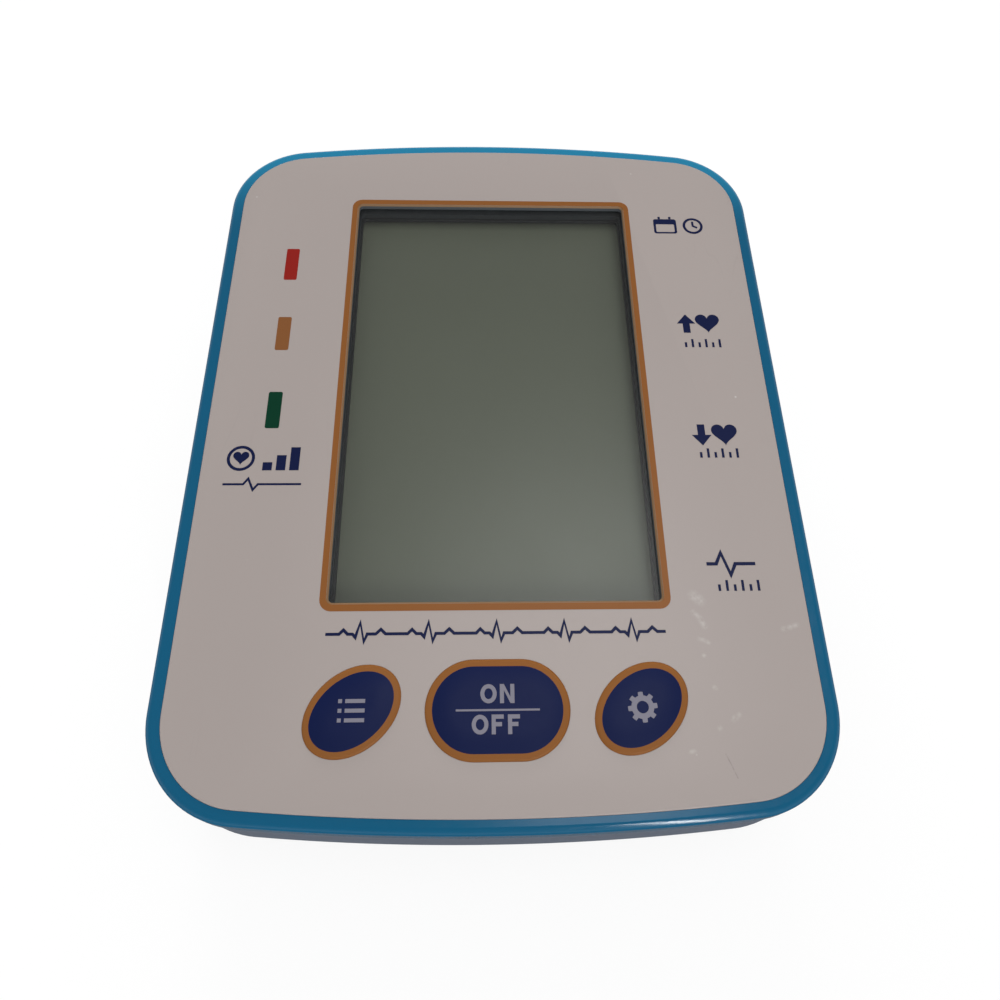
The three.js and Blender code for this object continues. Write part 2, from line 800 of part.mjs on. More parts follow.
function pushSwitch(key) {
  const half = switchWidth / 2;
  const base = -boardDepth + fit;
  const body = block(key.x - half, key.x + half, keyRowY - half, keyRowY + half, base, -switchTop);
  const well = plungerDepth + keyTravel + fit;
  const hole = post(plungerRadius + fit, key.x, keyRowY, -switchTop - well, 0, 12);
  return cut(solid(body), solid(hole));
}

for (const key of keys) {
  addPiece(face, `${key.name}_key`, keyCap(key), materials.navy);
  addPiece(face, `${key.name}_switch`, pushSwitch(key), materials.black);
  const plunger = post(plungerRadius, key.x, keyRowY, -switchTop - plungerDepth, -plungerTop, 12);
  addPiece(face, `${key.name}_plunger`, plunger, materials.cream);
}

// Parts under the board: processor, buzzer and pressure sensor
const underBoard = -boardBottom - fit;
function hanging(width, length, thickness, corner, x, y) {
  return prism(roundedRectangle(width, length, corner, x, y, 2), underBoard - thickness, underBoard);
}
const chip = hanging(chipWidth, chipWidth, chipThickness, chipCorner, 0, chipY);
addPiece(face, 'processor_chip', chip, materials.black);
addPiece(
  face,
  'buzzer',
  turned([
    [0, underBoard - buzzerHeight + fit],
    [buzzerRadius / 5, underBoard - buzzerHeight + fit],
    [buzzerRadius / 5, underBoard - buzzerHeight],
    [buzzerRadius, underBoard - buzzerHeight],
    [buzzerRadius, underBoard],
    [0, underBoard],
  ], 16).translate(buzzerX, chipY, 0),
  materials.black,
);
// The sensor's nozzle stands over the manifold: this is its place on the face for a height in the casing.
const sensorHeightInCasing = airLevel + manifoldWidth;
const sensorX = manifoldX;
const sensorY = manifoldY * cosTilt + (sensorHeightInCasing - midHeight) * sinTilt;
function pressureSensor() {
  const body = hanging(sensorWidth, sensorWidth, sensorHeight, sensorCorner, sensorX, sensorY);
  const tip = -sensorBottom - sensorNozzle;
  const nozzle = cut(
    solid(post(nozzleRadius, sensorX, sensorY, tip, -sensorBottom + fit, 10)),
    solid(post(nozzlePassage, sensorX, sensorY, tip - fit, -sensorBottom, 6)),
  );
  return joined(solid(body), nozzle);
}
addPiece(face, 'pressure_sensor', pressureSensor(), materials.cream);

// Lower housing: a tub whose walls curve in to the underside, with the battery bay, the screw bosses, the
// pump's saddles, and shelves under what it carries
function tub(inset, low, topDrop) {
  const rings = [];
  for (let i = 0; i <= baseSteps; i += 1) {
    const angle = (Math.PI / 2) * (i / baseSteps);
    const grow = tubGrow - inset - baseInset * (1 - Math.sin(angle));
    rings.push(levelRing(grow, low + baseHeight * (1 - Math.cos(angle))));
  }
  rings.push(slopeRing(tubGrow - inset, topDrop));
  return solid(loft(rings));
}

const doorOutline = (grow) => roundedRectangle(
  2 * (doorHalfWidth + grow),
  doorFarY - doorNearY + 2 * grow,
  doorCorner + grow,
  bayCentreX,
  (doorNearY + doorFarY) / 2,
);
const hookPlaces = [-1, 1].map((side) => bayCentreX + (side * hookSpacing) / 2);
const saddleY = (along) => motorNearY + motorLength / 2 + along;
const facesAway = (i) => i % 2 === 0;
const cellX = (i) => bayCentreX + (i - (cellCount - 1) / 2) * cellPitch;

// Battery contacts: what each is called, the cells that it touches and the end of the bay where it stands
const contacts = [
  { name: 'contact_lead_minus', cells: [0], atFarEnd: false },
  { name: 'contact_bridge_near', cells: [1, 2], atFarEnd: false },
  { name: 'contact_lead_plus', cells: [3], atFarEnd: false },
  { name: 'contact_bridge_far_left', cells: [0, 1], atFarEnd: true },
  { name: 'contact_bridge_far_right', cells: [2, 3], atFarEnd: true },
];
const sleeveHalf = sleeveLength / 2;

// Ridges that part the cells under the ceiling of the bay
function bayRidges() {
  const section = [
    new THREE.Vector2(-ridgeRootHalf, bayTop + fit),
    new THREE.Vector2(-ridgeRootHalf, bayTop),
    new THREE.Vector2(-ridgeTipHalf, bayTop - ridgeDrop),
    new THREE.Vector2(ridgeTipHalf, bayTop - ridgeDrop),
    new THREE.Vector2(ridgeRootHalf, bayTop),
    new THREE.Vector2(ridgeRootHalf, bayTop + fit),
  ];
  const run = prism(section, bayNearY + springEnd + ridgeEndRoom, bayFarY - springEnd - ridgeEndRoom);
  const ridges = [];
  for (let i = 1; i < cellCount; i += 1) {
    const x = (cellX(i - 1) + cellX(i)) / 2;
    ridges.push(solid(run.clone().scale(1, 1, -1).rotateX(Math.PI / 2).translate(x, 0, 0)));
  }
  return ridges;
}

// Guide ribs on both sides of each contact, down from the ceiling of the bay
function contactGuides() {
  const depth = contactThickness + 2 * fit;
  return contacts.flatMap(({ cells, atFarEnd }) => {
    const places = cells.map(cellX);
    const reach = contactWidth / 2 + fit + guideWidth / 2;
    const wallY = atFarEnd ? bayFarY : bayNearY;
    const inwards = atFarEnd ? -1 : 1;
    return [Math.min(...places) - reach, Math.max(...places) + reach].map((x) => solid(block(
      x - guideWidth / 2,
      x + guideWidth / 2,
      Math.min(wallY - inwards * fit, wallY + inwards * depth),
      Math.max(wallY - inwards * fit, wallY + inwards * depth),
      cellHeight - contactHeight / 2,
      bayTop + fit,
    )));
  });
}

function lowerHousing() {
  const low = floorTop - fit;
  const bayOuter = block(
    bayCentreX - bayHalfWidth - bayWall,
    bayCentreX + bayHalfWidth + bayWall,
    bayNearY - bayWall,
    bayFarY + bayWall,
    low,
    bayTop + bayWall,
  );
  const bosses = fourCorners.map(([sideX, sideY]) => (
    solid(post(bossRadius, sideX * bossX, sideY * bossY, low, bossTop))
  ));
  const saddles = [-1, 1].map((side) => {
    const y = saddleY(side * (sleeveHalf - saddleInset));
    return cut(
      solid(block(
        pumpX - motorRadius,
        pumpX + motorRadius,
        y - saddleThickness / 2,
        y + saddleThickness / 2,
        low,
        pumpHeight - sleeveRadius / 2,
      )),
      solid(turned([[0, -wall], [sleeveRadius + fit, -wall], [sleeveRadius + fit, wall], [0, wall]], 24)
        .rotateX(Math.PI / 2)
        .translate(pumpX, y, pumpHeight)),
    );
  });
  const socketCradle = cut(
    solid(block(
      -innerSide + socketLength / 2 - shelfThickness,
      -innerSide + socketLength / 2,
      socketY - socketRadius,
      socketY + socketRadius,
      low,
      socketHeight,
    )),
    solid(post(socketRadius + fit, 0, 0, -wall, wall, 20)
      .rotateY(Math.PI / 2)
      .translate(-innerSide + socketLength / 2 - shelfThickness / 2, socketY, socketHeight)),
  );
  const shelves = [
    [innerSide - fit - jackLength / 2, jackY, jackHeight - jackTall / 2],
    [pumpX, pumpNearY + pumpHeadLength / 2, pumpHeight - pumpHeadWidth / 2],
  ].map(([x, y, top]) => solid(block(
    x - shelfLength / 2,
    x + shelfLength / 2,
    y - shelfThickness / 2,
    y + shelfThickness / 2,
    low,
    top - fit,
  )));
  const scoopPad = post(scoopPadRadius, bayCentreX, doorNearY, low, floorTop + bayWall, 24);
  const inside = tub(wall, floorTop, coverDepth - tongueLength);
  const shell = cut(tub(0, footStand, coverDepth + fit), inside);
  const carriers = [...bosses, ...saddles, socketCradle, ...shelves];
  const body = joined(shell, solid(bayOuter), solid(scoopPad), ...carriers);

  const bay = cut(
    solid(block(
      bayCentreX - bayHalfWidth,
      bayCentreX + bayHalfWidth,
      bayNearY,
      bayFarY,
      0,
      bayTop,
    )),
    ...bayRidges(),
    ...contactGuides(),
  );
  const hookSlots = hookPlaces.map((x) => solid(block(
    x - hookWidth / 2 - doorGap,
    x + hookWidth / 2 + doorGap,
    bayFarY - fit,
    doorFarY + bayWall,
    doorTop,
    footStand + hookSlotHeight,
  )));
  const latchSlot = solid(block(
    bayCentreX - latchWidth / 2 - doorGap,
    bayCentreX + latchWidth / 2 + doorGap,
    doorNearY - doorGap,
    bayNearY + fit,
    doorTop - fit,
    doorTop + latchHeight + 2 * fit,
  ));
  const screwHoles = fourCorners.flatMap(([sideX, sideY]) => [
    solid(post(screwRadius + fit, sideX * bossX, sideY * bossY, 0, bossTop + fit, 12)),
    solid(post(screwHeadRadius + fit, sideX * bossX, sideY * bossY, 0, screwSeat)),
  ]);
  const footRecesses = fourCorners.map(([sideX, sideY]) => (
    solid(post(footRadius + fit, sideX * footX, sideY * footY, 0, footStand + footRecess))
  ));
  const socketHoles = [
    solid(post(socketRadius + fit, 0, 0, -wall * 2, wall * 2, 24)
      .rotateY(Math.PI / 2)
      .translate(-outerSide, socketY, socketHeight)),
    solid(post(socketFlangeRadius + fit, 0, 0, -socketFlangeThickness - fit, wall * 2, 24)
      .rotateY(-Math.PI / 2)
      .translate(-outerSide, socketY, socketHeight)),
  ];
  const plugHole = solid(post(plugRadius, 0, 0, -wall * 2, wall * 2, 24)
    .rotateY(Math.PI / 2)
    .translate(outerSide, jackY, jackHeight));
  return cut(
    body,
    bay,
    solid(prism(doorOutline(doorGap), 0, doorTop + fit)),
    solid(post(scoopRadius, bayCentreX, doorNearY, 0, footStand + scoopDepth, 24)),
    ...hookSlots,
    latchSlot,
    ...screwHoles,
    ...footRecesses,
    ...socketHoles,
    plugHole,
  );
}
addPiece(monitor, 'lower_housing', lowerHousing(), materials.grey);

// Battery door: a panel with hook tabs at its far edge, a springy latch tongue at its near edge, grip ribs
// outside and stiffening ribs inside; it turns about the outer line of its far edge
function batteryDoor() {
  const panel = solid(prism(doorOutline(0), footStand, doorTop));
  const hooks = hookPlaces.map((x) => {
    const root = doorFarY - doorLap - doorGap - hookThickness;
    const low = floorTop + fit;
    return joined(
      solid(block(x - hookWidth / 2, x + hookWidth / 2, root, root + hookThickness, footStand, low)),
      solid(block(
        x - hookWidth / 2,
        x + hookWidth / 2,
        root,
        doorFarY + hookReach,
        low,
        low + hookThickness,
      )),
    );
  });
  const tongueFar = doorNearY + latchThickness + doorLap;
  const tongue = joined(
    solid(block(
      bayCentreX - latchWidth / 2,
      bayCentreX + latchWidth / 2,
      tongueFar - latchThickness,
      tongueFar,
      footStand,
      doorTop + latchHeight,
    )),
    solid(block(
      bayCentreX - latchWidth / 2,
      bayCentreX + latchWidth / 2,
      doorNearY,
      tongueFar,
      doorTop + fit,
      doorTop + latchThickness,
    )),
  );
  const slits = [-1, 1].map((side) => {
    const x = bayCentreX + side * (latchWidth / 2 + latchSlit / 2);
    return solid(block(
      x - latchSlit / 2,
      x + latchSlit / 2,
      doorNearY - fit,
      doorNearY + latchSlitLength,
      0,
      doorTop + fit,
    ));
  });
  const gripRibs = [];
  for (let i = 0; i < doorRibCount; i += 1) {
    const y = doorNearY + latchSlitLength + doorRibPitch * (i + 1);
    gripRibs.push(solid(block(
      bayCentreX - doorRibLength / 2,
      bayCentreX + doorRibLength / 2,
      y - doorRibHeight,
      y + doorRibHeight,
      footStand - doorRibHeight,
      footStand + doorRibHeight,
    )));
  }
  const innerRibs = [-1, 0, 1].map((side) => {
    const y = (bayNearY + bayFarY) / 2 + (side * bayLength) / 4;
    return solid(block(
      bayCentreX - bayHalfWidth + doorLap,
      bayCentreX + bayHalfWidth - doorLap,
      y - doorRibHeight,
      y + doorRibHeight,
      footStand,
      doorTop + cellRise - fit,
    ));
  });
  return joined(cut(panel, ...slits), ...hooks, tongue, ...gripRibs, ...innerRibs);
}
addPiece(monitor, 'battery_door', batteryDoor(), materials.grey);

// Cells, side by side and each turned end for end from its neighbour
for (let i = 0; i < cellCount; i += 1) {
  const shape = turned([
    [0, 0],
    [cellDiscRadius, 0],
    [cellDiscRadius + cellGroove, cellGroove],
    [cellRadius - cellEdge, cellGroove / 2],
    [cellRadius, cellGroove / 2 + cellEdge],
    [cellRadius, cellBodyLength - cellEdge],
    [cellRadius - cellEdge, cellBodyLength],
    [cellNubRadius, cellBodyLength],
    [cellNubRadius, cellLength],
    [0, cellLength],
  ], 16);
  const cell = addPiece(monitor, `cell_${i + 1}`, shape, materials.cell);
  const turn = facesAway(i) ? -1 : 1;
  cell.rotation.x = (turn * Math.PI) / 2;
  cell.position.set(cellX(i), turn < 0 ? bayNearY + springEnd : bayFarY - springEnd, cellHeight);
}

// Battery contacts: sprung steel plates with a conical spring for a cell's flat end and a dimple for its nub
function springPath() {
  const path = [new THREE.Vector3(springBaseRadius, 0, -springWire)];
  const steps = springCurls * springStepsPerCurl;
  const coilHeight = springHeight - springWire;
  for (let i = 0; i <= steps; i += 1) {
    const share = i / steps;
    const angle = 2 * Math.PI * springCurls * share;
    const radius = springBaseRadius + (springTipRadius - springBaseRadius) * share;
    path.push(new THREE.Vector3(radius * Math.cos(angle), radius * Math.sin(angle), coilHeight * share));
  }
  const last = path.at(-1);
  path.push(new THREE.Vector3(last.x, last.y, springHeight));
  return path;
}

function leastSelfGap(path, wire, stepsApart) {
  let least = Infinity;
  for (let i = 0; i < path.length; i += 1) {
    for (let k = i + stepsApart; k < path.length; k += 1) {
      least = Math.min(least, path[i].distanceTo(path[k]) - wire);
    }
  }
  return least;
}
const springLine = springPath();
console.log(`battery spring: least gap to itself ${leastSelfGap(springLine, springWire, springStepsPerCurl - 2).toFixed(2)} mm`);

function contact(cells, atFarEnd) {
  const places = cells.map(cellX);
  const low = cellHeight - contactHeight / 2;
  const bodies = [solid(block(
    Math.min(...places) - contactWidth / 2,
    Math.max(...places) + contactWidth / 2,
    fit,
    fit + contactThickness,
    low,
    low + contactHeight,
  ))];
  for (const i of cells) {
    const springHere = facesAway(i) !== atFarEnd;
    const shape = springHere
      ? tube(springLine, springWire / 2, 0, springSides)
      : turned([[0, -fit], [cellNubRadius, -fit], [cellNubRadius, 0], [cellNubRadius / 2, contactDimple],
        [0, contactDimple]], 12);
    const outwards = shape.rotateX(-Math.PI / 2).translate(cellX(i), fit + contactThickness, cellHeight);
    bodies.push(solid(outwards));
  }
  const body = geometryOf(joined(...bodies));
  if (atFarEnd) return closed(body.scale(1, -1, 1).translate(0, bayFarY, 0));
  return body.translate(0, bayNearY, 0);
}
for (const { name, cells, atFarEnd } of contacts) {
  addPiece(monitor, name, contact(cells, atFarEnd), materials.nickel);
}

// Feet and casing screws
fourCorners.forEach(([sideX, sideY], i) => {
  const height = footStand + footRecess - fit;
  const foot = turned([
    [0, 0],
    [footRadius - footEdge, 0],
    [footRadius, footEdge],
    [footRadius, height],
    [0, height],
  ], 20);
  addPiece(monitor, `foot_${i + 1}`, foot, materials.rubber).position.set(sideX * footX, sideY * footY, 0);
  const screw = headedScrew(screwRadius, screwHeadRadius, screwHeadHeight, screwLength, 12);
  addPiece(monitor, `casing_screw_${i + 1}`, screw, materials.steel)
    .position.set(sideX * bossX, sideY * bossY, screwSeat - fit);
});

// Nozzles point along a direction from a root
const alongX = new THREE.Vector3(1, 0, 0);
const alongY = new THREE.Vector3(0, 1, 0);
const alongZ = new THREE.Vector3(0, 0, 1);
function nozzle(root, direction, length = nozzleLength) {
  const frame = new THREE.Matrix4().makeRotationFromQuaternion(
    new THREE.Quaternion().setFromUnitVectors(alongZ, direction),
  ).setPosition(root);
  return cut(
    solid(post(nozzleRadius, 0, 0, -fit, length, 10), frame),
    solid(post(nozzlePassage, 0, 0, 0, length + fit, 6), frame),
  );
}

// Air pump: a head with its nozzle, a motor and a foam sleeve, lying in the saddles
const pumpOutlet = new THREE.Vector3(pumpX + pumpHeadWidth / 2 - pumpNozzleInset, pumpNearY, airLevel);
function pumpHead() {
  const outline = roundedRectangle(pumpHeadWidth, pumpHeadWidth, pumpHeadCorner);
  const body = prism(outline, 0, pumpHeadLength)
    .rotateX(-Math.PI / 2)
    .translate(pumpX, pumpNearY, pumpHeight);
  return joined(solid(body), nozzle(pumpOutlet, alongY.clone().negate()));
}
addPiece(monitor, 'pump_head', pumpHead(), materials.cream);
const motor = addPiece(
  monitor,
  'pump_motor',
  turned([
    [0, 0],
    [motorRadius, 0],
    [motorRadius, motorLength - motorEdge],
    [motorRadius - motorEdge, motorLength],
    [motorBossRadius, motorLength],
    [motorBossRadius, motorLength + motorBossLength],
    [0, motorLength + motorBossLength],
  ], 24),
  materials.steel,
);
motor.rotation.x = -Math.PI / 2;
motor.position.set(pumpX, motorNearY, pumpHeight);
const sleeve = addPiece(
  monitor,
  'pump_sleeve',
  turned([
    [motorRadius + fit, -sleeveHalf],
    [sleeveRadius, -sleeveHalf],
    [sleeveRadius, sleeveHalf],
    [motorRadius + fit, sleeveHalf],
    [motorRadius + fit, -sleeveHalf],
  ], 24),
  materials.foam,
);
sleeve.rotation.x = -Math.PI / 2;
sleeve.position.set(pumpX, saddleY(0), pumpHeight);

// Release valve: a coil between the ends of a steel yoke, with its nozzle towards the manifold
const valveInlet = new THREE.Vector3(valveX - valveLength / 2, manifoldY, airLevel);
function releaseValve() {
  const [x0, x1] = [valveX - valveLength / 2, valveX + valveLength / 2];
  const [y0, y1] = [manifoldY - valveWidth / 2, manifoldY + valveWidth / 2];
  const top = valveBottom + valveHeight;
  const yoke = joined(
    solid(block(x0, x1, y0, y1, valveBottom, valveBottom + valveYoke)),
    solid(block(x0, x0 + valveYoke, y0, y1, valveBottom, top)),
    solid(block(x1 - valveYoke, x1, y0, y1, valveBottom, top)),
  );
  const coil = solid(post(valveCoilRadius, 0, 0, 0, valveLength - valveYoke, 20)
    .rotateY(Math.PI / 2)
    .translate(x0 + valveYoke / 2, manifoldY, valveBottom + valveHeight / 2));
  return joined(yoke, coil, nozzle(valveInlet, alongX.clone().negate()));
}
addPiece(monitor, 'release_valve', releaseValve(), materials.steel);

// Manifold: a small block with four nozzles
const manifoldHalf = manifoldWidth / 2;
const manifoldMiddle = new THREE.Vector3(manifoldX, manifoldY, airLevel);
const manifoldPort = (direction) => manifoldMiddle.clone().addScaledVector(direction, manifoldHalf);
function manifold() {
  const body = block(
    manifoldX - manifoldHalf,
    manifoldX + manifoldHalf,
    manifoldY - manifoldHalf,
    manifoldY + manifoldHalf,
    airLevel - manifoldHalf,
    airLevel + manifoldHalf,
  );
  return joined(
    solid(body),
    nozzle(manifoldPort(alongX), alongX),
    nozzle(manifoldPort(alongY), alongY),
    nozzle(manifoldPort(alongY.clone().negate()), alongY.clone().negate()),
    nozzle(manifoldPort(alongZ), alongZ, sensorNozzle),
  );
}
addPiece(monitor, 'air_manifold', manifold(), materials.cream);

// Cuff socket: a flanged barrel in the left side with a bore for the cuff's plug and a nozzle inside
const socketFace = -outerSide;
const socketOutlet = new THREE.Vector3(socketFace + socketLength, socketY, socketHeight);
function cuffSocket() {
  const barrel = turned([
    [socketBore, 0],
    [socketFlangeRadius, 0],
    [socketFlangeRadius, socketFlangeThickness],
    [socketRadius, socketFlangeThickness],
    [socketRadius, socketLength],
    [socketPassage, socketLength],
    [socketPassage, socketBoreDepth],
    [socketBore, socketBoreDepth],
    [socketBore, 0],
  ], 24);
  const placed = barrel.rotateY(Math.PI / 2).translate(socketFace, socketY, socketHeight);
  const outlet = nozzle(socketOutlet, alongX);
  return joined(solid(placed), outlet);
}
addPiece(monitor, 'cuff_socket', cuffSocket(), materials.black);

// Adapter jack: a box with a round bore and its centre pin, on a shelf behind the hole in the right side
const jackFace = innerSide - fit;
function adapterJack() {
  const body = block(
    jackFace - jackLength,
    jackFace,
    jackY - jackWidth / 2,
    jackY + jackWidth / 2,
    jackHeight - jackTall / 2,
    jackHeight + jackTall / 2,
  );
  const bore = post(jackBore, 0, 0, jackFace - jackBoreDepth, jackFace + fit, 20)
    .rotateY(Math.PI / 2)
    .translate(0, jackY, jackHeight);
  const pinHole = post(jackPinRadius + fit, 0, 0, jackFace - jackBoreDepth - wall, jackFace, 12)
    .rotateY(Math.PI / 2)
    .translate(0, jackY, jackHeight);
  return cut(solid(body), solid(bore), solid(pinHole));
}
addPiece(monitor, 'adapter_jack', adapterJack(), materials.black);
const jackPin = addPiece(
  monitor,
  'adapter_jack_pin',
  turned([
    [0, fit - wall],
    [jackPinRadius, fit - wall],
    [jackPinRadius, jackBoreDepth - jackPinSetback - jackPinTip],
    [jackPinRadius - jackPinTip, jackBoreDepth - jackPinSetback],
    [0, jackBoreDepth - jackPinSetback],
  ], 12),
  materials.nickel,
);
jackPin.rotation.y = Math.PI / 2;
jackPin.position.set(jackFace - jackBoreDepth, jackY, jackHeight);

// Hoses: each slips over two nozzles, straight at its ends and curved between them
function hose(from, leaving, to, arriving) {
  const first = from.clone().addScaledVector(leaving, fit);
  const last = to.clone().addScaledVector(arriving, fit);
  const turnOut = first.clone().addScaledVector(leaving, nozzleLength);
  const turnIn = last.clone().addScaledVector(arriving, nozzleLength);
  const curve = new THREE.CubicBezierCurve3(
    turnOut,
    turnOut.clone().addScaledVector(leaving, hoseBend),
    turnIn.clone().addScaledVector(arriving, hoseBend),
    turnIn,
  );
  return tube([first, ...curve.getSpacedPoints(hoseSteps), last], hoseRadius, hoseBore, hoseSides);
}
const towardsUser = alongY.clone().negate();
addPiece(
  monitor,
  'pump_hose',
  hose(pumpOutlet, towardsUser, manifoldPort(alongY), alongY),
  materials.silicone,
);
addPiece(
  monitor,
  'socket_hose',
  hose(socketOutlet, alongX, manifoldPort(towardsUser), towardsUser),
  materials.silicone,
);
function shortSleeve(from, to) {
  const along = to.clone().sub(from).normalize();
  const ends = [from.clone().addScaledVector(along, fit), to.clone().addScaledVector(along, -fit)];
  return tube(ends, hoseRadius, hoseBore, hoseSides);
}
addPiece(monitor, 'valve_hose', shortSleeve(manifoldPort(alongX), valveInlet), materials.silicone);
const sensorInlet = new THREE.Vector3(sensorX, sensorY, -sensorBottom).applyMatrix4(faceFrame);
addPiece(monitor, 'sensor_hose', shortSleeve(manifoldPort(alongZ), sensorInlet), materials.silicone);

export default monitor;
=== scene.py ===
from math import atan2, cos, pi, radians, sin, sqrt, tan

import bmesh
import bpy
from mathutils import Matrix, Quaternion, Vector


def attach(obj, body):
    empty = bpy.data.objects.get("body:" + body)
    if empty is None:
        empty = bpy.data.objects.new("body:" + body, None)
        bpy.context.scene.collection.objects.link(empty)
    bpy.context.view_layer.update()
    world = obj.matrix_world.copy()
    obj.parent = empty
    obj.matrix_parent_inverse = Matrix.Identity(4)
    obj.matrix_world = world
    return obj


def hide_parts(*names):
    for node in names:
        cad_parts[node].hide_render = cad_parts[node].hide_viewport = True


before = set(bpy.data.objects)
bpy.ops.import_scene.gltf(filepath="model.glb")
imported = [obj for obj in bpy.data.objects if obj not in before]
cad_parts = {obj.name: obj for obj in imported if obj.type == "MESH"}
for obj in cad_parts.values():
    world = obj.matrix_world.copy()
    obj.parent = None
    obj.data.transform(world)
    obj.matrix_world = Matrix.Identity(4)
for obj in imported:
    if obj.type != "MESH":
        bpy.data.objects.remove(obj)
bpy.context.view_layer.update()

scene = bpy.context.scene
scene.view_settings.view_transform = "Standard"
MM = 0.001

# Camera, lamps and table
# The eye is close above the near edge and looks down across the face. An even sky, a tall narrow lamp at
# the near side, a broad one overhead and a hidden one beyond the far edge light a white table.
camera_data = bpy.data.cameras.new("camera")
camera_data.lens = 25.2
camera_data.sensor_width = 36
camera_data.clip_start = 10 * MM
camera = bpy.data.objects.new("camera", camera_data)
camera.location = Vector((-2.948, -82.337, 136.102)) * MM
camera.rotation_mode = "QUATERNION"
looking = Vector((0.030813, 0.535418, -0.844025))
roll = radians(2.6)
camera.rotation_quaternion = looking.to_track_quat("-Z", "Y") @ Quaternion((0, 0, 1), roll)
scene.collection.objects.link(camera)
scene.camera = camera


def soft_lamp(name, place, wide, tall, power, in_gloss=True):
    lamp = bpy.data.lights.new(name, "AREA")
    lamp.shape = "ELLIPSE"
    lamp.size = wide
    lamp.size_y = tall
    lamp.energy = power
    holder = bpy.data.objects.new(name, lamp)
    holder.location = place
    holder.rotation_mode = "QUATERNION"
    holder.rotation_quaternion = (-holder.location).to_track_quat("-Z", "Y")
    holder.visible_glossy = in_gloss
    scene.collection.objects.link(holder)


soft_lamp("near_lamp", (0.46, -1.2, 0.81), 0.06, 1, 7)
soft_lamp("overhead_lamp", (0.31, -0.04, 1.85), 0.95, 0.95, 6)
soft_lamp("far_lamp", (-0.2, 1.9, 0.5), 1.6, 0.6, 36, in_gloss=False)


def feed(node, sockets):
    """Sets a node's inputs, and links those that are given another node's output."""
    for key, value in sockets.items():
        if isinstance(value, bpy.types.NodeSocket):
            node.id_data.links.new(value, node.inputs[key])
        else:
            node.inputs[key].default_value = value


def add_node(tree, kind, settings=None, inputs=None):
    made = tree.nodes.new(kind)
    for key, value in (settings or {}).items():
        setattr(made, key, value)
    feed(made, inputs or {})
    return made


def maths(tree, operation, *values):
    return add_node(tree, "ShaderNodeMath", {"operation": operation}, dict(enumerate(values))).outputs[0]


def between(tree, share, first, last):
    """A value that goes from first to last with the share."""
    return add_node(tree, "ShaderNodeMix", inputs={0: share, 2: first, 3: last}).outputs[0]


def ramp(tree, value, low, high, first=0, last=1, way="LINEAR"):
    """Goes from first to last while the value goes from low to high."""
    return add_node(tree, "ShaderNodeMapRange", {"interpolation_type": way}, {
        "Value": value,
        "From Min": low,
        "From Max": high,
        "To Min": first,
        "To Max": last,
    }).outputs[0]


def noise(tree, coords, scale, detail=2, **more):
    sockets = {"Vector": coords, "Scale": scale, "Detail": detail, **more}
    return add_node(tree, "ShaderNodeTexNoise", inputs=sockets).outputs["Fac"]


def object_coords(tree):
    return add_node(tree, "ShaderNodeTexCoord").outputs["Object"]


def new_material(name):
    made = bpy.data.materials.new(name)
    made.use_nodes = True
    return made, made.node_tree, made.node_tree.nodes["Principled BSDF"]


white = (1, 1, 1, 1)
sky_on_object = 0.6
gloss_near_horizon, gloss_overhead = 0.8, 0.22
sky = bpy.data.worlds.new("sky")
sky.use_nodes = True
scene.world = sky
sky_tree = sky.node_tree
sky_ray = add_node(sky_tree, "ShaderNodeLightPath").outputs
sky_way = add_node(sky_tree, "ShaderNodeSeparateXYZ", inputs={
    0: add_node(sky_tree, "ShaderNodeTexCoord").outputs["Generated"],
}).outputs
sky_in_gloss = ramp(sky_tree, sky_way["Z"], 0.1, 0.6, gloss_near_horizon, gloss_overhead)
sky_light = between(sky_tree, sky_ray["Is Glossy Ray"], sky_on_object, sky_in_gloss)
sky_seen = maths(sky_tree, "MAXIMUM", sky_ray["Is Camera Ray"], sky_ray["Is Transmission Ray"])
feed(sky_tree.nodes["Background"], {
    "Color": white,
    "Strength": between(sky_tree, sky_seen, sky_light, 1),
})

table_half = 4.0
table_in_gloss = 0.1
plain_share = 0.87
plain_from, plain_all = 0.3, 1.5
table_mesh = bpy.data.meshes.new("table")
table_mesh.from_pydata(
    [(x * table_half, y * table_half, 0) for x, y in ((-1, -1), (1, -1), (1, 1), (-1, 1))],
    [],
    [(0, 1, 2, 3)],
)
table = bpy.data.objects.new("table", table_mesh)
scene.collection.objects.link(table)
table_paint, table_tree, table_shader = new_material("table_paint")
table_coords = object_coords(table_tree)
table_ray = add_node(table_tree, "ShaderNodeLightPath").outputs
feed(table_shader, {
    "Base Color": ramp(table_tree, noise(table_tree, table_coords, 900), 0, 1, 0.94, 0.98),
    "Roughness": 0.9,
    "Specular IOR Level": 0.1,
})
table_plain = add_node(table_tree, "ShaderNodeEmission", inputs={
    "Color": white,
    "Strength": between(table_tree, table_ray["Is Glossy Ray"], 1, table_in_gloss),
})
table_seen = maths(table_tree, "MAXIMUM", table_ray["Is Camera Ray"], table_ray["Is Glossy Ray"])
table_reach = add_node(table_tree, "ShaderNodeVectorMath", {"operation": "LENGTH"}, {0: table_coords})
table_clean = ramp(table_tree, table_reach.outputs["Value"], plain_from, plain_all, plain_share)
table_mix = add_node(table_tree, "ShaderNodeMixShader", inputs={
    0: maths(table_tree, "MULTIPLY", table_seen, table_clean),
    1: table_shader.outputs[0],
    2: table_plain.outputs[0],
})
feed(table_tree.nodes["Material Output"], {"Surface": table_mix.outputs[0]})
table_mesh.materials.append(table_paint)

